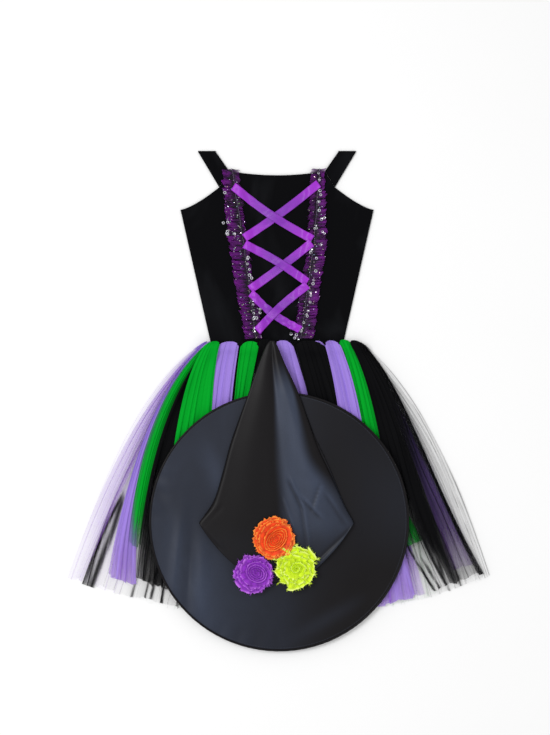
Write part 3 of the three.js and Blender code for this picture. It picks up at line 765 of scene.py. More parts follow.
    def thread(self, frill, name, sizes):
        """The gathering stitches, in short runs of pale thread."""
        material, tree, shader = new_material(f"Gathering thread {name}", 0.5)
        twist = noise(tree, object_place(tree), 2600.0, 1.0)
        # Painted shade: noise darkens the pale thread in patches towards the gathers' shade colour
        wire(tree, shader, Base_Color=blend_colours(tree, twist, sizes.shade, sizes.thread))
        t = np.linspace(0, 1, 160)
        y = mix(FRILL_Y[0], FRILL_Y[-1], t)
        line = flat_grid(frill.side * self.along(frill.stitch, y) + 0.5 * np.sin(31 * t), y)
        line[:, 2] = pile.under(line, 1) + 0.2
        base = point_mesh("thread_line", line, edges=[(k, k + 1) for k in range(len(line) - 1)])
        lengths = {"Pitch": 3.1 * MM, "Stitch": 2.2 * MM, "Thread": 0.5 * MM}
        finish_piece(grow(base, running_stitch(material), lengths, f"gathering_thread_{name}"), "organza")

    def cups(self, frill, name, sizes):
        """Cup sequins at their places, and a few that lie loose near them."""
        material, tree, shader = new_material(f"Cup sequins {name}", 0.18, Metallic=0.9)
        cloud = noise(tree, object_place(tree), 180.0, 1.0)
        tarnish = blend_colours(tree, cloud, sizes.sequin, times(sizes.sequin, 0.7))
        wire(tree, shader, Base_Color=tarnish)
        group, first, last = tree_group("Cup sequins", Width=0.004, Seed=1)
        seed = first.outputs["Seed"]
        outer = math_node(group, "DIVIDE", first.outputs["Width"], 2.0)
        hole = math_node(group, "MULTIPLY", outer, 0.52)
        deep = math_node(group, "MULTIPLY", outer, 0.3)
        shape = {"Vertices": 14, "Radius Top": outer, "Radius Bottom": hole, "Depth": deep}
        cup = add_node(group, "GeometryNodeMeshCone", shape, fill_type="NONE").outputs[0]
        turn, size = random_tilt(group, 0.3, seed), random_size(group, 0.66, seed)
        close_tree(group, last, instances(group, first.outputs["Geometry"], cup, turn, size), material)
        rng = np.random.default_rng(frill.seed)
        points = np.array([(frill.side * x, y, 0.0) for x, y in frill.cups])
        near = points[rng.integers(0, len(points), LOOSE_CUPS)]
        points = np.vstack([points, near + rng.normal(0, LOOSE_SPREAD, (LOOSE_CUPS, 3)) * (1, 1, 0)])
        points[:, 2] = pile.under(points, 2) + 0.5
        values = {"Width": sizes.sequin_width, "Seed": frill.seed}
        piece = grow(point_mesh("cup_points", points), group, values, f"cup_sequins_{name}")
        finish_piece(thicken(piece, 0.12 * MM), "organza")


def running_stitch(material):
    """A geometry tree that lays short rounded stitches along a line."""
    tree, first, last = tree_group("Running stitch", Pitch=0.003, Stitch=0.002, Thread=0.0005)
    given = first.outputs
    line = add_node(tree, "GeometryNodeMeshToCurve", {"Mesh": given["Geometry"]}).outputs[0]
    spaced = {"Curve": line, "Length": given["Pitch"]}
    even = add_node(tree, "GeometryNodeResampleCurve", spaced, mode="LENGTH").outputs[0]
    radius = math_node(tree, "DIVIDE", given["Thread"], 2.0)
    shape = {"Vertices": 6, "Side Segments": 3, "Radius": radius, "Depth": given["Stitch"]}
    stitch = add_node(tree, "GeometryNodeMeshCylinder", shape).outputs[0]
    close_tree(tree, last, instances(tree, even, stitch, turned_along(tree, tangent(tree))), material)
    return tree


# The lacing, in the order in which the ribbons are laid
Ribbon = namedtuple("Ribbon", "node start end bow pucker")
RIBBONS = [
    Ribbon("ribbon_1_under", (59, 226), (-46, 149), 2, 0.15),
    Ribbon("ribbon_1_over", (-62, 222), (50, 147), -4, 0.2),
    Ribbon("ribbon_2_under", (49, 142), (-38, 76), 1, 0.15),
    Ribbon("ribbon_2_over", (-46, 140), (43, 86), 3, 0.2),
    Ribbon("ribbon_3_under", (-37, 71), (33, 19), -5, 0.6),
    Ribbon("ribbon_3_over", (43, 82), (-28, 17), -3, 0.2),
]


class COSTUME_OT_lacing(Operator):
    """Make the six runs of satin ribbon that cross between the frills"""

    bl_idname = "costume.lacing"
    bl_label = "Lacing"

    def execute(self, context):
        sizes = context.scene.costume_lacing
        material = self.satin(sizes)
        for k, ribbon in enumerate(RIBBONS):
            grid, ends = self.run(ribbon, sizes.width / MM, k)
            piece = cloth(ribbon.node.replace("ribbon", "lacing"), grid, material, {"ends": ends})
            thicken(piece, sizes.thickness)
            finish_cloth(piece, grid, "laid", ["frill_left", "frill_right"], "ribbon_satin", ribbon.node)
            pile.heap(grid, sizes.thickness / MM)
        return {"FINISHED"}

    def satin(self, sizes):
        """Ribbed satin with a painted sheen towards the ribbon's ends and painted shade along its ribs."""
        sheen = {"Specular_IOR_Level": 0.45, "Sheen_Weight": 0.15, "Anisotropic": 0.5}
        material, tree, shader = new_material("Purple ribbon satin", 0.36, **sheen)
        place = cloth_place(tree)
        ribbed = {"Vector": place, "Scale": 320.0, "Distortion": 0.4}
        ribs = add_node(tree, "ShaderNodeTexWave", ribbed, bands_direction="X").outputs["Fac"]
        cloud = streaks(tree, place, (120, 42, 1), 2.0)
        # Painted sheen: the satin is painted brighter towards the ribbon's ends, in cloudy patches
        ends = math_node(tree, "SUBTRACT", attribute(tree, "ends"), 0.42)
        end_sheen = math_node(tree, "MULTIPLY_ADD", cloud, 0.9, ends, clamp=True)
        base = blend_colours(tree, end_sheen, sizes.satin, sizes.end_sheen)
        # Painted shade along the ribs of the weave
        shade = spread_range(tree, ribs, 0, 1, 0, 0.18)
        colour = blend_colours(tree, shade, base, times(sizes.satin, 0.3))
        wire(tree, shader, Base_Color=colour, Normal=bump(tree, ribs, 0.25, 0.0004))
        return material

    def run(self, ribbon, width, seed):
        """A ribbon's points, and how near each is to an end. It bows sideways and puckers."""
        rng = np.random.default_rng(30 + seed)
        start, end = np.array(ribbon.start, float), np.array(ribbon.end, float)
        along = (end - start) / np.linalg.norm(end - start)
        sideways = np.array([-along[1], along[0]])
        t = np.linspace(0, 1, 72)[:, None]
        across = np.linspace(-1, 1, 11)[None]
        narrow = 1 - 0.1 * ribbon.pucker * (1 + ripple(rng, 4, 3, 9)(t[:, 0])[:, None])
        reach = across * width / 2 * narrow + ribbon.bow * np.sin(math.pi * t)
        plan = start + t[..., None] * (end - start) + reach[..., None] * sideways
        grid = flat_grid(plan[..., 0], plan[..., 1])
        crinkle = ripple(rng, 5, 3, 8)(t[:, 0])[:, None] * ripple(rng, 3, 0.2, 0.8)(across[0])[None]
        slack = 0.5 * np.sin(math.pi * t) + 0.25 * (1 - across**2)
        grid[..., 2] = pile.under(grid, 3) + 0.2 + slack + 1.6 * ribbon.pucker * (crinkle + 0.8)
        return grid, np.clip(np.abs(2 * t - 1) ** 1.5, 0, 1) + 0 * across


# The skirt's fan: the waist, a knee that bends the strips outwards, and the hem
FAN = SimpleNamespace(
    waist_left=-102.0,
    waist_right=115.0,
    waist_y=-0.4,
    knee_left=-209.0,
    knee_right=244.0,
    knee_y=-194.0,
    knee_rise_left=114.0,
    knee_rise_right=80.0,
    hem_left=-297.0,
    hem_right=302.0,
    hem_y=-393.0,
    hem_rise=64.0,
)
BACK_STRIPS = 8
BACK_SEED = 60
BACK_NET = ((0, 0.7, 0.4, 0.25), (1, 0.7, 0.4, 0.25))
OVER_WAIST = 0.012
SKIRT_LENGTH = 420.0
KNOT = 0.05
WAIST_LAYERS = 40
FOLD_WIDTH = (0.018, 0.036)
FOLD_LAP = (1.2, 2.5)
UNDER_START = -0.007
ROUND_TOP = 0.024

# One tulle strip. waist, knee and hem are its edges as shares across the fan, and length its share of
# the way down. Each row of cover is a share across the strip and how many layers deep it is there at
# the stations of COVER_DOWN. fade is how sheer its end gets. Each of lines is a dark fold edge: the
# places (down, across) that it runs through, its width and how many layers it adds.
Strip = namedtuple("Strip", "name cloth waist knee hem length folds fade cover lines", defaults=((),))
COVER_DOWN = (0.4, 0.68, 0.95)
PLAIN_NET = ((0, 1.4, 1.0, 0.8), (1, 1.4, 1.0, 0.8))
DENSE_BLACK = ((0, 60, 50, 30), (1, 60, 50, 30))
DENSE = ((0, 10, 8, 5), (1, 10, 8, 5))
STRIPS = [
    Strip(
        "base_1", "black", (0, 0.13), (0.035, 0.17), (0.036, 0.172), 1, 5, 0,
        ((0, 0.8, 1.6, 5), (0.13, 0.8, 1.6, 5), (0.18, 0.8, 1, 0.7), (0.7, 1.6, 1.4, 0.7), (1, 8, 6, 1)),
        (
            (((0.7, 0.14), (0.82, 0.06), (1, 0.01)), 0.016, 26),
            (((0.7, 0.15), (0.82, 0.19), (1, 0.16)), 0.03, 24),
            (((0.93, 0.83), (1, 0.84)), 0.014, 22),
        ),
    ),
    Strip(
        "base_2", "black", (0.14, 0.27), (0.172, 0.31), (0.172, 0.31), 0.99, 5, 0,
        ((0, 5, 3, 1.2), (0.5, 6, 3, 1.2), (1, 8, 5, 1.6)),
        (
            (((0.88, 0.03), (1, 0.06)), 0.012, 22),
            (((0.86, 0.1), (1, 0.17)), 0.014, 26),
            (((0.88, 0.25), (1, 0.36)), 0.014, 24),
            (((0.88, 0.55), (1, 0.62)), 0.012, 18),
        ),
    ),
    Strip("base_3", "black", (0.28, 0.41), (0.32, 0.44), (0.32, 0.44), 1, 5, 0, PLAIN_NET),
    Strip("base_4", "black", (0.42, 0.55), (0.45, 0.57), (0.45, 0.57), 0.99, 4, 0, PLAIN_NET),
    Strip("base_5", "black", (0.56, 0.69), (0.58, 0.7), (0.58, 0.7), 1, 4, 0, PLAIN_NET),
    Strip("base_6", "black", (0.7, 0.83), (0.71, 0.83), (0.71, 0.835), 0.985, 5, 0, PLAIN_NET),
    Strip(
        "base_7", "black", (0.84, 0.98), (0.84, 0.97), (0.845, 0.985), 1, 5, 0, PLAIN_NET,
        ((((0.8, 0.3), (1, 0.42)), 0.012, 16), (((0.7, 0.5), (1, 0.62)), 0.012, 14)),
    ),
    Strip(
        "lilac_1", "lilac", (-0.02, 0.004), (-0.012, 0.067), (-0.001, 0.034), 1, 4, 0.5,
        ((0, 0.12, 0.1, 0.05), (0.4, 0.5, 0.4, 0.2), (0.6, 1.1, 0.9, 0.5), (1, 2.2, 2, 1)),
    ),
    Strip(
        "lilac_2", "lilac", (0.004, 0.03), (0.031, 0.03), (0.09, 0.165), 0.955, 4, 0.3,
        ((0, 6, 6, 3), (0.25, 8, 8, 5), (0.7, 9, 9, 6), (1, 6, 5, 3)),
        ((((0.78, 0.28), (0.95, 0.3)), 0.02, 9), (((0.82, 0.85), (0.95, 0.95)), 0.03, 5)),
    ),
    Strip(
        "green_1", "green", (0.014, 0.048), (0.023, 0.061), (0.141, 0.169), 0.84, 3, 0.8,
        ((0, 1.5, 3, 2), (0.3, 5, 8, 5), (1, 14, 12, 8)),
    ),
    Strip(
        "black_1", "black", (0.04, 0.088), (0.067, 0.2), (0.16, 0.25), 0.94, 7, 0.1,
        ((0, 60, 30, 14), (0.3, 60, 36, 20), (1, 60, 40, 20)),
        ((((0.6, 0.3), (0.94, 0.2)), 0.02, 20), (((0.7, 0.55), (0.94, 0.5)), 0.02, 20)),
    ),
    Strip("lilac_3", "lilac", (0.09, 0.225), (0.27, 0.33), (0.27, 0.35), 0.95, 4, 0, DENSE),
    Strip(
        "green_2", "green", (0.013, 0.1), (0.148, 0.31), (0.22, 0.29), 0.89, 5, 0,
        ((0, 9, 7, 5), (0.1, 10, 8, 6), (1, 14, 10, 7)),
    ),
    Strip("black_2", "black", (0.34, 0.46), (0.38, 0.5), (0.42, 0.53), 0.97, 4, 0, DENSE_BLACK),
    Strip("green_3", "green", (0.235, 0.355), (0.345, 0.29), (0.35, 0.43), 0.94, 4, 0, DENSE),
    Strip("lilac_4", "lilac", (0.45, 0.572), (0.52, 0.706), (0.5, 0.6), 0.95, 3, 0, DENSE),
    Strip(
        "lilac_5", "lilac", (0.7, 0.78), (0.76, 0.822), (0.72, 0.848), 0.985, 4, 0.3,
        ((0, 8, 7, 6), (0.5, 8, 7, 6), (0.8, 6, 5, 3), (1, 4, 3, 1.6)),
        ((((0.8, 0.72), (0.98, 0.8)), 0.02, 6),),
    ),
    Strip(
        "green_4", "green", (0.875, 0.96), (0.68, 0.735), (0.82, 0.93), 0.8, 4, 0.6,
        ((0, 2, 6, 6), (0.42, 3, 7, 7), (0.5, 16, 9, 8), (1, 16, 9, 7)),
    ),
    Strip("black_3", "black", (0.585, 0.775), (0.668, 0.74), (0.6, 0.71), 0.96, 6, 0, DENSE_BLACK),
    Strip(
        "lilac_6", "lilac", (0.779, 0.879), (0.661, 0.73), (0.7, 0.775), 0.95, 4, 0, DENSE,
        ((((0, 0.5), (0.5, 0.5)), 0.02, 5),),
    ),
    Strip(
        "lilac_7", "lilac", (0.95, 0.99), (0.889, 0.905), (0.924, 0.977), 0.94, 4, 0.5,
        ((0, 3, 2.8, 1.8), (1, 3, 2.8, 1.8)),
    ),
    Strip(
        "black_4", "black", (0.945, 1.03), (0.768, 0.9), (0.835, 0.99), 0.98, 7, 0.3,
        (
            (0, 60, 6, 0.5), (0.2, 60, 6, 0.6), (0.34, 60, 12, 0.9), (0.42, 60, 60, 1.4), (0.5, 60, 60, 6),
            (0.56, 44, 60, 34), (0.61, 20, 50, 34), (0.68, 14, 9, 8), (0.92, 13, 8, 7), (1, 12, 9, 8),
        ),
        (
            (((0.76, 0.03), (0.98, 0.25)), 0.012, 30),
            (((0.84, 0.22), (0.98, 0.33)), 0.012, 30),
            (((0.7, 0.32), (0.98, 0.44)), 0.014, 34),
            (((0.05, 0.97), (0.98, 0.965)), 0.022, 44),
        ),
    ),
    Strip(
        "black_5", "black", (1.0, 1.032), (0.895, 0.984), (0.97, 1.0), 1, 6, 0,
        ((0, 0.8, 0.9, 0.6), (1, 0.7, 0.8, 0.5)),
        (
            (((0.1, 0.97), (1, 0.96)), 0.012, 12),
            (((0.3, 0.86), (1, 0.8)), 0.009, 9),
            (((0.45, 0.74), (1, 0.6)), 0.009, 8),
            (((0.2, 0.3), (0.7, 0.2)), 0.008, 6),
        ),
    ),
]
SHEER = {"lilac": 0.24, "green": 0.3, "black": 0.09}


def bend(waist, knee, hem, down):
    """A smooth curve from waist to hem that is drawn towards the knee."""
    up = 1 - down
    return waist * up * up + 2 * knee * up * down + hem * down * down


def fan_point(across, down):
    """Points of the skirt's fan, from shares across it and down it."""
    side = 2 * across - 1
    rise = np.where(side < 0, FAN.knee_rise_left, FAN.knee_rise_right)
    waist_x = mix(FAN.waist_left, FAN.waist_right, across)
    knee_x = mix(FAN.knee_left, FAN.knee_right, across)
    hem_x = mix(FAN.hem_left, FAN.hem_right, across)
    middle = (FAN.hem_left + FAN.hem_right) / 2
    half = (FAN.hem_right - FAN.hem_left) / 2
    hem_y = FAN.hem_y + FAN.hem_rise * ((hem_x - middle) / half) ** 2
    y = bend(FAN.waist_y + 0 * across, FAN.knee_y + rise * side * side, hem_y, down)
    return flat_grid(bend(waist_x, knee_x, hem_x, down), y)


def brim_ceiling(grid):
    """The highest that the skirt may reach under the brim."""
    x, y = grid[..., 0], grid[..., 1]
    beyond = np.hypot(x - HAT.x, y - HAT.y) - HAT.radius
    return brim_level() + HAT.tilt * y - 0.5 + 30 * smooth((beyond - 1) / 14)


def knife_folds(count, rng):
    """Places across a strip, close together at its folds, with the cloth's slide, pace and lift there."""
    middles = (np.arange(count) + rng.uniform(0.25, 0.75, count)) / count
    widths = rng.uniform(*FOLD_WIDTH, count)
    laps = widths * rng.uniform(*FOLD_LAP, count)
    ways = rng.choice([-1.0, 1.0], count)
    near = (middles[:, None] + widths[:, None] * np.linspace(-3, 3, 15)).ravel()
    t = np.unique(np.concatenate([np.linspace(0, 1, 30), near[(near > 0) & (near < 1)]]))
    off = (t[None] - middles[:, None]) / widths[:, None]
    slide = (laps[:, None] * off * np.exp(-(off**2) / 2)).sum(0)
    pace = 1 - (laps[:, None] / widths[:, None] * (1 - off**2) * np.exp(-(off**2) / 2)).sum(0)
    lift = (ways[:, None] * off * np.exp(-(off**2) / 8)).sum(0)
    return t, slide, pace, lift


def ragged_hem(t, count, rng):
    """How far a hem cut by hand strays at each place across it."""
    cuts = np.sort(rng.uniform(0, 1, 2 * count))
    slant = np.interp(t, cuts, rng.uniform(-1, 1, 2 * count))
    return slant + rng.uniform(-0.7, 0.7, 2 * count + 1)[np.searchsorted(cuts, t)]


def net_cover(strip, across, down, width, pace):
    """How many layers deep a strip's net is: more where it is gathered, folded or lined."""
    gathered = np.clip(width[-1:].mean() / width, 0.6, 9) * mix(1.8, 1.0, smooth(down / 0.5))
    packed = np.clip(1 / np.maximum(np.abs(pace), 0.16), 0.6, 6)[None]
    stations, *depths = np.array(strip.cover, float).T
    knee, calf, hem = (np.interp(across, stations, depth) for depth in depths)
    at_knee, at_calf, at_hem = COVER_DOWN
    layers = mix(knee, calf, smooth((down - at_knee) / (at_calf - at_knee)))
    layers = mix(layers, hem, smooth((down - at_calf) / (at_hem - at_calf)))
    end = 1 - strip.fade * smooth((down / strip.length - 0.8) / 0.2)
    cover = layers * gathered * mix(1, packed, 0.45) * end
    cover = cover + WAIST_LAYERS * (1 - smooth((down + OVER_WAIST) / 0.07))
    for run, wide, more in strip.lines:
        where, middle = np.array(run, float).T
        there = smooth((down - where[0]) / 0.06)
        cover = cover + more * there * hump(across, np.interp(down, where, middle), wide)
    return cover


def strip_grid(strip, rng, sizes, laid=True):
    """A strip with knife folds that meet at the waist, its height, and how many layers deep it is."""
    t, slide, pace, lift = knife_folds(strip.folds, rng)
    keep_edges = smooth(t / 0.05) * smooth((1 - t) / 0.05)
    u = t - slide * keep_edges
    shown = laid and not strip.name.startswith("base")
    first = -OVER_WAIST * rng.uniform(0.5, 1.6) if shown else UNDER_START
    rows = np.concatenate([np.linspace(0, 0.06, 9)[:-1], np.linspace(0.06, 1, 56)])
    rag = ragged_hem(t, strip.folds, rng)
    hem = strip.length + sizes.hem_rag / MM / SKIRT_LENGTH * rag / 2
    round_top = (ROUND_TOP if shown else 0.0) * np.abs(2 * t - 1) ** 3
    down = mix((first + round_top)[None], hem[None], rows[:, None])
    wander = ripple(rng, 4, 0.6, 2.2)
    sway = 0.05 * smooth(down) * wander(0.5 * u[None] + 0.9 * down)
    across = np.clip(u[None] + sway * keep_edges[None], 0, 1)
    left, right = (bend(*edge, down) for edge in zip(strip.waist, strip.knee, strip.hem))
    grid = fan_point(mix(left, right, across), down)
    fan_waist, fan_hem = FAN.waist_right - FAN.waist_left, FAN.hem_right - FAN.hem_left
    width = np.maximum(np.abs(right - left) * mix(fan_waist, fan_hem, np.clip(down, 0, 1)), 4.0)
    height = sizes.fold_height / MM * mix(0.45, 1.0, smooth(down / 0.3))
    billow = ripple(rng, 4, 1.2, 3.4)(across + 0.15 * down) + 1
    knot = 2.4 * np.sin(math.pi * np.clip((down + OVER_WAIST) / (KNOT + OVER_WAIST), 0, 1))
    plump = knot * np.sqrt(np.clip(4 * across * (1 - across), 0, 1)) if laid else 0.0
    z = height * (1.25 + lift[None] + 0.55 * billow) + plump
    return grid, np.maximum(z, 0.05), net_cover(strip, across, down, width, pace)


def tulle_material(name, colour, sheer):
    """Fine net: its cover, the layers it lies in, makes it dense at the waist and sheer at the hem."""
    material, tree, shader = new_material(name, 0.8, Specular_IOR_Level=0.06)
    place = cloth_place(tree)
    cover = attribute(tree, "cover")
    streak = streaks(tree, place, (330, 4, 1), 3.0, 0.6)
    broad = streaks(tree, place, (90, 3, 1), 2.0)
    fine = spread_range(tree, streak, 0.3, 0.7, 0.65, 1.35)
    wide = spread_range(tree, broad, 0.3, 0.7, 0.75, 1.25)
    deep = math_node(tree, "MULTIPLY", math_node(tree, "MULTIPLY", cover, fine), wide)
    clear = math_node(tree, "POWER", 1 - sheer, deep)
    dense = math_node(tree, "SUBTRACT", 1.0, clear, clamp=True)
    # Painted shade and painted highlight along the fold streaks: the net's colour is mixed between a darker
    # and a paler copy of itself
    shade = spread_range(tree, streak, 0.35, 0.7, 0.24, 0.0)
    dark = times(colour, 0.5)
    pale = tuple(min(1.0, part) for part in times(colour, 1.15))
    # One or two layers look a richer colour than the milky bloom of many
    rich = (colour[0], 0.55 * colour[1], colour[2])
    bloom = spread_range(tree, dense, 0.35, 0.85, 0.0, 1.0)
    folds = blend_colours(tree, shade, pale, dark)
    shown = blend_colours(tree, bloom, rich, folds)
    wire(tree, shader, Alpha=dense, Base_Color=shown, Normal=bump(tree, streak, 0.3, 0.0006))
    return material


def tulle_materials(context):
    """Each tulle's name and material, made once."""
    sizes = context.scene.costume_skirt
    for name in SHEER:
        label, colour = f"Tulle {name}", getattr(sizes, name)
        yield name, bpy.data.materials.get(label) or tulle_material(label, colour, SHEER[name])


class COSTUME_OT_skirt_back(Operator):
    """Make the back half of the skirt, flat on the table"""

    bl_idname = "costume.skirt_back"
    bl_label = "Skirt, back half"

    def execute(self, context):
        sizes = context.scene.costume_skirt
        net = dict(tulle_materials(context))
        for k in range(BACK_STRIPS):
            name = ["lilac", "black", "green", "black"][k % 4]
            edges = ((k + 0.01) / BACK_STRIPS, (k + 0.99) / BACK_STRIPS)
            strip = Strip(f"back_{k + 1}", name, edges, edges, edges, 1, 5, 0.3, BACK_NET)
            rng = np.random.default_rng(sizes.seed + BACK_SEED + k)
            grid, height, cover = strip_grid(strip, rng, sizes, laid=False)
            grid[..., 2] = 0.15 + 0.35 * height
            piece = cloth(f"tulle_back_{k + 1}", grid, net[name], {"cover": cover})
            finish_cloth(piece, grid, "laid", ["floor"], f"tulle_{name}", f"back_{k + 1}_{name}")
            pile.heap(grid)
        return {"FINISHED"}


class COSTUME_OT_skirt_front(Operator):
    """Lay the tulle strips of the skirt's front in their order"""

    bl_idname = "costume.skirt_front"
    bl_label = "Skirt, front half"

    def execute(self, context):
        sizes = context.scene.costume_skirt
        net = dict(tulle_materials(context))
        for k, strip in enumerate(STRIPS):
            grid, height, cover = strip_grid(strip, np.random.default_rng(sizes.seed + k), sizes)
            grid[..., 2] = np.minimum(pile.under(grid) + height, brim_ceiling(grid))
            piece = cloth(f"tulle_{strip.name}", grid, net[strip.cloth], {"cover": cover})
            slot, node = f"tulle_{strip.cloth}", f"skirt_{strip.name}"
            finish_cloth(piece, grid, "gathered", ["velvet_front"], slot, node)
            pile.heap(grid)
        return {"FINISHED"}


# The hat
HAT = SimpleNamespace(x=3.0, y=-253.0, radius=184.0, mouth=84.0, edge=3.0, tuck=0.6, seam=1.6, tilt=0.026)
BRIM_WALL = 1.5
CROWN_GAP = 0.35

# The crown pressed flat, in loops from the mouth to the tip. front is where its upper side reaches and
# back its under side, side the height where they meet, and lift how far apart they stand.
Loop = namedtuple("Loop", "left right side front back lift")
CROWN = [
    Loop(-84, 90, -253, -340, -166, 0),
    Loop(-100, 101, -254, -336, -163, 4),
    Loop(-110, 108, -254, -318, -159, 5.4),
    Loop(-91, 94, -228, -278, -148, 5.8),
    Loop(-78, 77, -190, -226, -131, 5.2),
    Loop(-67, 58, -149, -173, -110, 4.2),
    Loop(-54, 44, -110, -122, -84, 3.6),
    Loop(-40, 30, -70, -75, -58, 3.4),
    Loop(-26, 11.5, -30, -31, -26, 3.4),
    Loop(-16, 1, -5, -5, -3, 3.4),
    Loop(-10, -3.5, 3, 3, 3.5, 3),
]


def brim_level():
    """The height of the brim's lower side at the waist seam, from the CAD brim's lowest edge."""
    low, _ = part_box("hat_brim")
    return low.z / MM - HAT.tilt * (low.y - WAIST_Y) / MM


def brim_wave(x, y):
    """Soft troughs and creases pressed into the brim, largest on its left side."""
    dx, dy = x - HAT.x, y - HAT.y
    reach = np.hypot(dx, dy) / HAT.radius
    turn = np.arctan2(dy, dx)
    trough = -1.0 * hump(x, -126 + 0.06 * (y + 330), 9) * hump(y, -325, 52)
    ridge = 0.75 * hump(x, -143 + 0.1 * (y + 320), 8) * hump(y, -315, 60)
    ridge += 0.5 * hump(x, -106, 9) * hump(y, -330, 45)
    valley = -0.55 * hump(x + 0.35 * y, -241, 13) * hump(y, -190, 55)
    left_rays = np.sin(46 * turn + 3 * np.sin(5 * turn)) * hump(turn, math.pi * 0.98, 0.5)
    low_rays = np.sin(40 * turn) * hump(turn, -math.pi * 0.62, 0.35)
    rays = 0.12 * left_rays * smooth((reach - 0.82) / 0.16) + 0.18 * low_rays * smooth((reach - 0.8) / 0.18)
    roll = 0.35 * np.sin(2 * turn + 0.7) * smooth((reach - 0.45) / 0.5)
    roll += 0.22 * np.sin(5 * turn + 1.1) * reach**3
    return trough + ridge + valley + rays + roll


def brim_painted_sheen(x, y):
    """How much painted sheen the brim's satin gets: painted over its left side, with painted highlights where
    its folds would catch the light and painted shade in its troughs.
    """
    beside_crown = 0.45 * hump(x, -84 - 0.28 * (y + 190), 14) * hump(y, -190, 42)
    lower_left = 0.25 * hump(x + 0.25 * y, -195, 30) * hump(y, -345, 70)
    right_folds = 0.2 * hump(y - 0.55 * x, -430, 12) * hump(x, 70, 45)
    # Painted sheen over the left side and in patches, with painted highlight on the relief's ridges and
    # painted shade in its troughs
    painted_sheen = mix(0.04, 0.5, smooth((85 - x) / 150)) + beside_crown + lower_left + right_folds
    return np.clip(painted_sheen + 0.2 * brim_wave(x, y), 0, 1)


def crown_painted_sheen(s, y):
    """How much painted sheen the crown's satin gets: its left flank is dark, and a painted highlight lies in
    a band right of the middle.
    """
    width = mix(0.16, 0.3, smooth((-60 - y) / 100))
    right = mix(0.92, 1.15, smooth((-150 - y) / 80))
    band = smooth((s + 0.02) / width) * smooth((right - s) / width) * smooth((-18 - y) / 55)
    band *= mix(0.95, 0.75, smooth((-190 - y) / 50))
    low = smooth((-250 - y) / 40)
    return np.clip(mix(band, 0.04 + 0.3 * smooth((s - 0.1) / 0.3), low), 0, 1)


def hat_satin(sizes):
    """Lining satin: a tight weave, with a painted sheen where its sheen share is high. Brim and crown share
    it.
    """
    name, rough = "Hat satin", 0.36
    if name in bpy.data.materials:
        return bpy.data.materials[name]
    material, tree, shader = new_material(name, rough, Specular_IOR_Level=0.13)
    place = object_place(tree)
    cloud = streaks(tree, place, (13, 6, 9), 3.0, 0.5, 0.8)
    uneven = spread_range(tree, cloud, 0.35, 0.65, 0.72, 1.05)
    # Painted sheen: the mesh's sheen share, in uneven patches, mixes the dark satin towards the sheen colour
    pressed = math_node(tree, "MULTIPLY", attribute(tree, "gloss"), uneven)
    weave = streaks(tree, place, (2400, 900, 900), 1.0)
    thread = math_node(tree, "MULTIPLY", spread_range(tree, weave, 0.3, 0.7, 0.75, 1.0), pressed)
    wire(
        tree,
        shader,
        Base_Color=blend_colours(tree, thread, sizes.satin, sizes.sheen),
        Roughness=spread_range(tree, cloud, 0.3, 0.7, rough + 0.06, rough - 0.05),
        Normal=bump(tree, weave, 0.12, 0.0003),
    )
    return material


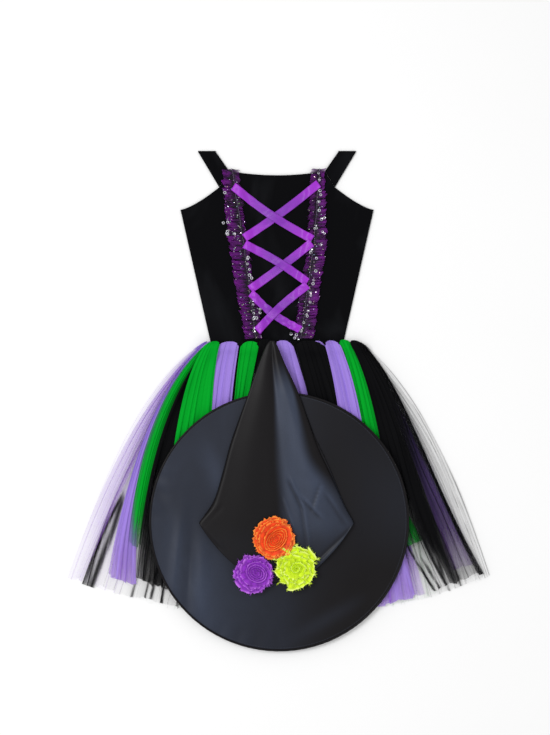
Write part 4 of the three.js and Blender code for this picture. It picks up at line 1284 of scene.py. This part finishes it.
class COSTUME_OT_brim(Operator):
    """Make the hat's stiff brim, its bound edge and the stitches beside it"""

    bl_idname = "costume.brim"
    bl_label = "Hat brim"

    def execute(self, context):
        sizes = context.scene.costume_hat
        satin = hat_satin(sizes)
        level = brim_level()
        wall = sizes.brim_thickness / MM
        radii = np.linspace(HAT.mouth, HAT.radius - HAT.edge + HAT.tuck, 84)[:, None]
        turn = np.linspace(0, 2 * math.pi, 360, endpoint=False)[None]
        grid = self.ring(radii, turn, level, sizes)
        piece = cloth("brim", grid, satin, {"gloss": brim_painted_sheen(grid[..., 0], grid[..., 1])}, closed=True)
        thicken(piece, sizes.brim_thickness)
        finish_cloth(piece, grid, "laid", ["tulle_black_3"], "hat_satin", "hat_brim", closed=True)
        # The crown is pressed flat across the mouth, so the pile has no hole there
        whole = self.ring(np.linspace(0, HAT.radius, 90)[:, None], turn, level, sizes)
        pile.heap(np.hstack([whole, whole[:, :1]]), wall)
        self.binding(turn, level, sizes, satin)
        self.stitches(turn, level, sizes, wall)
        return {"FINISHED"}

    def ring(self, radii, turn, level, sizes):
        """The brim's underside at the given radii and turns."""
        x = HAT.x + radii * np.cos(turn)
        y = HAT.y + radii * np.sin(turn)
        held = smooth((radii - HAT.mouth) / 18) + 0 * x
        pressed = np.maximum(sizes.trough / MM * (brim_wave(x, y) * held + 0.8), 0)
        z = level + HAT.tilt * y + pressed + 0.1
        return np.stack([x, y, z], axis=-1)

    def binding(self, turn, level, sizes, satin):
        """A narrow bias strip rolled round the wire at the brim's edge."""
        angle = np.linspace(0, 2 * math.pi, 14, endpoint=False)
        radius, squash = HAT.edge / 2, 0.85
        middle = self.ring(np.full((1, 1), HAT.radius - radius), turn, level, sizes)[0]
        out = np.stack([np.cos(turn[0]), np.sin(turn[0]), 0 * turn[0]], axis=-1)
        pucker = 1 + 0.05 * np.sin(90 * turn[0]) + 0.04 * np.sin(141 * turn[0])
        round_it = radius * pucker[None, :, None]
        grid = (
            middle[None]
            + round_it * np.cos(angle)[:, None, None] * out[None]
            + round_it * np.sin(angle)[:, None, None] * np.array([0, 0, squash])
            + np.array([0, 0, radius * squash])
        )
        faces = grid_faces(len(angle), turn.shape[1], closed=True)
        seam = grid_faces(2, turn.shape[1], closed=True)
        seam = np.where(seam < turn.shape[1], seam + (len(angle) - 1) * turn.shape[1], seam - turn.shape[1])
        faces = np.vstack([faces, seam])[:, ::-1]
        finish_piece(new_piece("brim_binding", grid, faces, satin), "hat_satin", "hat_edge")
        pile.heap(np.concatenate([grid, grid[:1]]))

    def stitches(self, turn, level, sizes, wall):
        """One line of stitches inside the brim's bound edge."""
        material, tree, shader = new_material("Brim thread", 0.6)
        twist = noise(tree, object_place(tree), 2400.0, 1.0)
        # Painted sheen: noise lightens the dark satin thread in patches towards the satin's sheen colour
        wire(tree, shader, Base_Color=blend_colours(tree, twist, sizes.satin, sizes.sheen))
        line = self.ring(np.full((1, 1), HAT.radius - HAT.edge - HAT.seam), turn, level, sizes)[0]
        line[:, 2] += wall + 0.12
        count = len(line)
        base = point_mesh("brim_line", line, edges=[(k, (k + 1) % count) for k in range(count)])
        lengths = {"Pitch": 4 * MM, "Stitch": 3 * MM, "Thread": 0.45 * MM}
        finish_piece(grow(base, running_stitch(material), lengths, "brim_stitches"), "hat_satin")


def crown_relief(s, y, share):
    """Folds of the flattened crown. s runs from -1 at its left side to 1 at its right."""
    down = smooth((-20 - y) / 150)
    left_ridge = 0.6 * hump(s, mix(-0.45, -0.6, down), 0.4)
    groove = -0.6 * hump(s, mix(0.05, 0.13, down), 0.16)
    right_ridge = mix(1.0, 1.5, down) * hump(s, mix(0.5, 0.78, down), mix(0.3, 0.26, down))
    return (left_ridge + groove + right_ridge) * share


def crown_creases(x, y):
    """Thin creases that branch over the lower right of the crown, and a small facet at each corner."""
    total = 0 * x
    for x0, y0, x1, y1, wide, deep in (
        (18, -194, 36, -232, 2.6, 0.9),
        (30, -214, 62, -246, 2.4, 0.8),
        (36, -232, 44, -290, 2.6, 0.6),
        (62, -200, 50, -236, 2.4, 0.7),
        (70, -214, 98, -256, 2.6, 0.6),
        (8, -220, 22, -262, 2.4, 0.5),
        (-108, -256, -80, -230, 2.8, 0.9),
        (-104, -262, -78, -290, 2.6, 0.7),
        (60, -308, 104, -264, 3.4, -1.3),
    ):
        length = math.hypot(x1 - x0, y1 - y0)
        ax, ay = (x1 - x0) / length, (y1 - y0) / length
        along = ((x - x0) * ax + (y - y0) * ay) / length
        off = (x - x0) * ay - (y - y0) * ax
        ends = smooth((along + 0.15) / 0.3) * smooth((1.15 - along) / 0.3)
        total = total + deep * ends * (hump(off, -wide * 0.8, wide) - hump(off, wide * 0.8, wide))
    return total


def eased(numbers, where):
    """Runs smoothly through numbers, as a bent strip does."""
    numbers = np.array(numbers, float)
    slope = np.gradient(numbers)
    k = np.minimum(where.astype(int), len(numbers) - 2)
    t = where - k
    a, b = numbers[k], numbers[k + 1]
    first = (1 + 2 * t) * (1 - t) ** 2 * a + t * (1 - t) ** 2 * slope[k]
    return first + t * t * (3 - 2 * t) * b + t * t * (t - 1) * slope[k + 1]


class COSTUME_OT_crown(Operator):
    """Make the hat's crown, a cone of satin folded flat"""

    bl_idname = "costume.crown"
    bl_label = "Hat crown"

    def execute(self, context):
        sizes = context.scene.costume_hat
        grid, gloss = self.loops(brim_level())
        rows, around = grid.shape[:2]
        last = (rows - 1) * around + np.arange(around)
        half = around // 2
        cap = [[last[a], last[a + 1], last[around - 2 - a], last[around - 1 - a]] for a in range(half - 1)]
        faces = np.vstack([grid_faces(rows, around, closed=True), cap])[:, ::-1]
        piece = new_piece("crown", grid, faces, hat_satin(sizes), grid_uv(grid), {"gloss": gloss.ravel()})
        thicken(piece, sizes.crown_thickness, -1.0)
        finish_cloth(piece, grid, "folded", ["brim"], "hat_satin", "hat_crown", closed=True)
        pile.heap(grid[:, :half])
        return {"FINISHED"}

    def loops(self, level):
        """The crown's points, loop by loop round its two sides, and how much painted sheen the satin gets
        there.
        """
        tip = len(CROWN) - 1
        rows = np.concatenate([np.linspace(0, 2, 26)[:-1], np.linspace(2, tip, 92)])
        at = Loop(*(eased(numbers, rows)[:, None] for numbers in zip(*CROWN)))
        lift = np.maximum(at.lift, 0.0)
        round_end = np.maximum(lift / 2, 0.4)
        middle = (at.left + at.right) / 2
        half = (at.right - at.left) / 2
        straight = half - round_end
        side = np.linspace(-1, 1, 92)[None]
        turn = np.radians(np.linspace(90, -90, 9)[1:-1])[None]
        top = straight * side
        right = straight + round_end * np.cos(turn)
        x = np.hstack([top, right, top[:, ::-1], -right[:, ::-1]])
        share_turn = (1 + np.sin(turn)) / 2 + 0 * right
        share = np.hstack([1 + 0 * top, share_turn, 0 * top, share_turn[:, ::-1]])
        s = x / half
        pointed = smooth((5 - rows) / 3)[:, None]
        power = mix(2.0, mix(1.35, 2.6, share), pointed)
        rim = mix(np.sqrt(np.clip(1 - s**2, 0, 1)), 1 - np.clip(np.abs(s), 0, 1) ** power, pointed)
        reach = mix(at.back, at.front, share) - at.side
        y = at.side + reach * rim
        x = middle + x
        floor = level + BRIM_WALL + CROWN_GAP + HAT.tilt * y
        floor = np.maximum(floor, pile.under(flat_grid(x, y), 56))
        body = smooth(rows / 1.5)[:, None] * smooth((tip - rows) / 2.5)[:, None]
        relief = (crown_relief(s, y, share) * 2.2 + crown_creases(x, y) * share) * rim**0.6 * body
        z = floor + lift * share + relief
        # Painted shade in the grooves of the creases and painted highlight on their ridges
        gloss = crown_painted_sheen(s, y) * (1 + 0.55 * np.clip(crown_creases(x, y), -1, 0.6))
        return np.stack([x, y, np.maximum(z, floor)], axis=-1), np.clip(gloss, 0, 1)

# The rosettes
# heart_x and heart_y are where the wound heart sits off the middle, long and turned its oval, turns how
# often it is wound, rim the height of the outer petals and rag how ragged they are
Rosette = namedtuple("Rosette", "name x y radius heart heart_x heart_y long turned turns rim rag edge seed")
PETAL_PLEATS = 11.3
FRAYED_SHARE = 0.95
FRAY_SPREAD = 0.42
ROSETTES = [
    Rosette("purple", -34.5, -327.5, 27.5, 15, 6, 3, 1.15, -30, 4.3, 3, 0.6, (206, 120, 240), 2),
    Rosette("orange", -4, -276, 29.5, 16, 3, -1, 1.4, 48, 4.6, 4.5, 0.4, (255, 170, 60), 1),
    Rosette("lime", 27, -318.5, 32, 5, 0, 0, 1.1, 20, 1.4, 7, 1.0, (240, 250, 150), 3),
]


class COSTUME_OT_rosettes(Operator):
    """Make the three rosettes of frayed chiffon"""

    bl_idname = "costume.rosettes"
    bl_label = "Rosettes"

    def execute(self, context):
        sizes = context.scene.costume_rosettes
        for rosette in ROSETTES:
            colour = getattr(sizes, rosette.name)
            chiffon = self.chiffon(rosette, colour)
            grid, edge = self.wound(rosette)
            piece = cloth(f"petals_{rosette.name}", grid, chiffon, {"edge": edge})
            slot, node = f"chiffon_{rosette.name}", f"rosette_{rosette.name}"
            finish_cloth(piece, grid, "gathered", ["crown"], slot, node, frayed=True)
            self.frayed(rosette, grid, chiffon, sizes)
            self.backing(rosette, chiffon)
        return {"FINISHED"}

    def chiffon(self, rosette, colour):
        """Soft chiffon, with painted shade in cloudy patches, and paler along its torn edge."""
        sheen = {"Sheen_Weight": 0.15, "Specular_IOR_Level": 0.3}
        material, tree, shader = new_material(f"Chiffon {rosette.name}", 0.6, **sheen)
        place = cloth_place(tree)
        cloud = streaks(tree, place, (260, 90, 1), 3.0, 0.6)
        light = spread_range(tree, cloud, 0.3, 0.6, 0, 1)
        # Painted shade: the chiffon is darkened to half its colour in cloudy patches
        petal = blend_colours(tree, light, times(colour, 0.5), colour)
        edge_patches = spread_range(tree, cloud, 0.3, 0.6, 0.25, 1.0)
        paler_edge = math_node(tree, "MULTIPLY", attribute(tree, "edge"), edge_patches, clamp=True)
        shown = blend_colours(tree, paler_edge, petal, linear(*rosette.edge))
        crinkle = bump(tree, noise(tree, place, 1500.0, 2.0), 0.4, 0.0004)
        wire(tree, shader, Base_Color=shown, Normal=crinkle)
        return material

    def wound(self, rosette):
        """A ruffled band wound in a spiral: flat frayed petals outside, a tight oval heart inside."""
        rng = np.random.default_rng(rosette.seed)
        turns_out, turns_in = 3.2, rosette.turns
        total = turns_out + turns_in
        wind = np.linspace(0, total, int(150 * turns_out + 90 * turns_in))
        inner = smooth((wind - turns_out + 0.4) / 0.8)
        down = np.linspace(0, 1, 8)[None]
        share_out = np.clip(wind / turns_out, 0, 1)
        share_in = np.clip((wind - turns_out) / turns_in, 0, 1)

        def along(petals, heart):
            return mix(mix(*petals, share_out), mix(*heart, share_in), inner)[:, None]

        base = along((rosette.radius - 11, rosette.heart * 0.8), (rosette.heart * 0.8, 0.7))
        lean = along((12.5, 9.0), (3.6, 1.6))
        top = along((rosette.rim, 7.5), (8.2, 9.6))
        foot = along((rosette.rim - 2, 5.0), (6.4, 8.0))
        ruffle = mix(rosette.rag, 0.1, inner)[:, None]
        angle = 2 * math.pi * wind[:, None]
        pleats = PETAL_PLEATS * angle
        pleat = np.sin(pleats + 1.5 * ripple(rng, 4, 2, 6)(wind / total)[:, None])
        wobble = ripple(rng, 8, 18, 60)(wind / total)[:, None]
        out = 1 - down
        teeth = rng.uniform(-1, 1, len(wind))[:, None] * (down < 0.01)
        spread = lean + ruffle * (1.6 * pleat + 1.4 * wobble)
        reach = base + out**0.8 * spread + teeth * mix(1.5, 0.3, inner)[:, None]
        around = angle + ruffle * out * (0.16 * np.cos(pleats + 0.6) + 0.07 * wobble)
        flutter = ruffle * out * (1.3 * np.cos(pleats) + 0.9 * wobble)
        height = mix(foot, top, out) + flutter + 0.25 * wobble * out
        stretch = mix(1.0, rosette.long, smooth((wind - turns_out * 0.5) / turns_out))[:, None]
        tilt = math.radians(rosette.turned)
        a, b = reach * np.cos(around) * stretch, reach * np.sin(around) / stretch**0.6
        shift = smooth(wind / turns_out)[:, None]
        x = rosette.x + a * math.cos(tilt) - b * math.sin(tilt) + shift * rosette.heart_x
        y = rosette.y + a * math.sin(tilt) + b * math.cos(tilt) + shift * rosette.heart_y
        grid = flat_grid(x, y)
        grid[..., 2] = self.rest(rosette) + np.maximum(height, 0.6)
        edge = mix(np.clip(1 - down * 4, 0, 1), np.clip(1.2 - down * 2.6, 0, 1), inner[:, None])
        return grid, edge + 0 * x

    def rest(self, rosette):
        """The height of the heap under a rosette."""
        row, column = pile.cell(np.array([rosette.x, rosette.y]))
        reach = int(rosette.radius * 0.6)
        return pile.top[row - reach : row + reach, column - reach : column + reach].max() + 0.3

    def frayed(self, rosette, grid, chiffon, sizes):
        """Loose threads along the cut edge, pointing out and up."""
        rng = np.random.default_rng(rosette.seed + 20)
        rim, below = grid[:, 0], grid[:, 2]
        out = rim - below
        out /= np.maximum(np.linalg.norm(out, axis=1), 1e-6)[:, None]
        pick = rng.random(len(rim)) < FRAYED_SHARE
        points = np.vstack([rim[pick], rim[pick]])
        ways = np.vstack([out[pick], out[pick]]) + rng.normal(0, FRAY_SPREAD, (2 * pick.sum(), 3))
        tree, first, last = tree_group(f"Frayed threads {rosette.name}", Length=0.003, Seed=1)
        given = first.outputs
        radii = {"Radius Top": 0.05 * MM, "Radius Bottom": 0.26 * MM}
        cone = {"Vertices": 3, "Depth": given["Length"], **radii}
        thread = add_node(tree, "GeometryNodeMeshCone", cone).outputs[0]
        way = add_node(tree, "GeometryNodeInputNamedAttribute", {"Name": "way"}, data_type="FLOAT_VECTOR")
        turn, size = turned_along(tree, way.outputs[0]), random_size(tree, 0.35, given["Seed"])
        close_tree(tree, last, instances(tree, given["Geometry"], thread, turn, size), chiffon)
        base = point_mesh("fray_points", points, {"way": ways})
        values = {"Length": sizes.thread_length * rosette.rag, "Seed": rosette.seed}
        finish_piece(grow(base, tree, values, f"fray_{rosette.name}"), f"chiffon_{rosette.name}")

    def backing(self, rosette, chiffon):
        """The round of chiffon that the band is sewn to."""
        radii = np.linspace(0.3, rosette.radius - 6, 10)[:, None]
        turn = np.linspace(0, 2 * math.pi, 48, endpoint=False)[None]
        x, y = rosette.x + radii * np.cos(turn), rosette.y + radii * np.sin(turn)
        z = self.rest(rosette) + 0.2 + 0.5 * smooth(1 - radii / rosette.radius) + 0 * x
        grid = np.stack([x, y, z], axis=-1)
        piece = thicken(cloth(f"rosette_backing_{rosette.name}", grid, chiffon, closed=True), 0.5 * MM)
        finish_piece(piece, f"chiffon_{rosette.name}")


# The studio
CAMERA = SimpleNamespace(x=-2.84, y=-34.79, width=1043.7, sensor=36.0)


class COSTUME_OT_stage(Operator):
    """Make the pale floor, the soft lights and the camera that looks straight down"""

    bl_idname = "costume.stage"
    bl_label = "Stage"

    def execute(self, context):
        sizes = context.scene.costume_stage
        scene = context.scene
        self.floor()
        world = bpy.data.worlds.new("White surround")
        world.use_nodes = True
        surround = world.node_tree.nodes["Background"].inputs
        surround["Color"].default_value = (1, 1, 1, 1)
        surround["Strength"].default_value = sizes.daylight
        scene.world = world
        self.light("Soft box", (-1.05, 0.35, 2.4), 1.1, sizes.key)
        self.light("Fill", (1.6, -1.4, 2.6), 2.0, sizes.fill)
        data = bpy.data.cameras.new("Overhead")
        data.lens = sizes.lens
        data.sensor_width = CAMERA.sensor
        data.clip_start, data.clip_end = 0.1, 50
        camera = linked("Overhead", data)
        height = CAMERA.width * MM * sizes.lens / CAMERA.sensor
        camera.location = (MIDDLE_X + CAMERA.x * MM, WAIST_Y + CAMERA.y * MM, height)
        scene.camera = camera
        scene.view_settings.view_transform = "Standard"
        scene.cycles.transparent_max_bounces = 32
        return {"FINISHED"}

    def floor(self):
        """A pale floor that reaches past the picture."""
        material, tree, shader = new_material("Pale floor", 0.9, Specular_IOR_Level=0.1)
        grain = noise(tree, object_place(tree), 3.0, 2.0)
        wire(tree, shader, Base_Color=blend_colours(tree, grain, (0.93,) * 3, (0.95,) * 3))
        mesh = bpy.data.meshes.new("floor")
        mesh.from_pydata([(-9, -9, 0), (9, -9, 0), (9, 9, 0), (-9, 9, 0)], [], [(0, 1, 2, 3)])
        mesh.materials.append(material)
        linked("floor", mesh)

    def light(self, name, place, size, power):
        """A square lamp that points at the middle of the floor."""
        data = bpy.data.lights.new(name, "AREA")
        data.size = size
        data.energy = power
        lamp = linked(name, data)
        lamp.location = place
        x, y, z = place
        lamp.rotation_euler = (math.atan2(math.hypot(x, y), z), 0, math.atan2(-y, -x) - math.pi / 2)


GROUPS = {
    "costume_bodice": CostumeBodice,
    "costume_frills": CostumeFrills,
    "costume_lacing": CostumeLacing,
    "costume_skirt": CostumeSkirt,
    "costume_hat": CostumeHat,
    "costume_rosettes": CostumeRosettes,
    "costume_stage": CostumeStage,
}
OPERATORS = [
    COSTUME_OT_skirt_back,
    COSTUME_OT_bodice,
    COSTUME_OT_frills,
    COSTUME_OT_lacing,
    COSTUME_OT_skirt_front,
    COSTUME_OT_brim,
    COSTUME_OT_crown,
    COSTUME_OT_rosettes,
    COSTUME_OT_stage,
]


class COSTUME_PT_pieces(Panel):
    """The pieces of the costume, in the order in which they are laid"""

    bl_idname = "COSTUME_PT_pieces"
    bl_label = "Witch costume"
    bl_space_type = "VIEW_3D"
    bl_region_type = "UI"
    bl_category = "Costume"

    def draw(self, context):
        for operator in OPERATORS:
            self.layout.operator(operator.bl_idname)
        for name, group in GROUPS.items():
            box = self.layout.box()
            for label in group.__annotations__:
                box.prop(getattr(context.scene, name), label)


def register():
    for group in GROUPS.values():
        bpy.utils.register_class(group)
    for name, group in GROUPS.items():
        setattr(bpy.types.Scene, name, PointerProperty(type=group))
    for made in [*OPERATORS, COSTUME_PT_pieces]:
        bpy.utils.register_class(made)


def unregister():
    for made in [COSTUME_PT_pieces, *reversed(OPERATORS)]:
        bpy.utils.unregister_class(made)
    for name in GROUPS:
        delattr(bpy.types.Scene, name)
    for group in reversed(list(GROUPS.values())):
        bpy.utils.unregister_class(group)


def main():
    """Registers the add-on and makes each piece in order."""
    register()
    for operator in OPERATORS:
        family, name = operator.bl_idname.split(".")
        getattr(getattr(bpy.ops, family), name)()


if __name__ == "__main__":
    main()
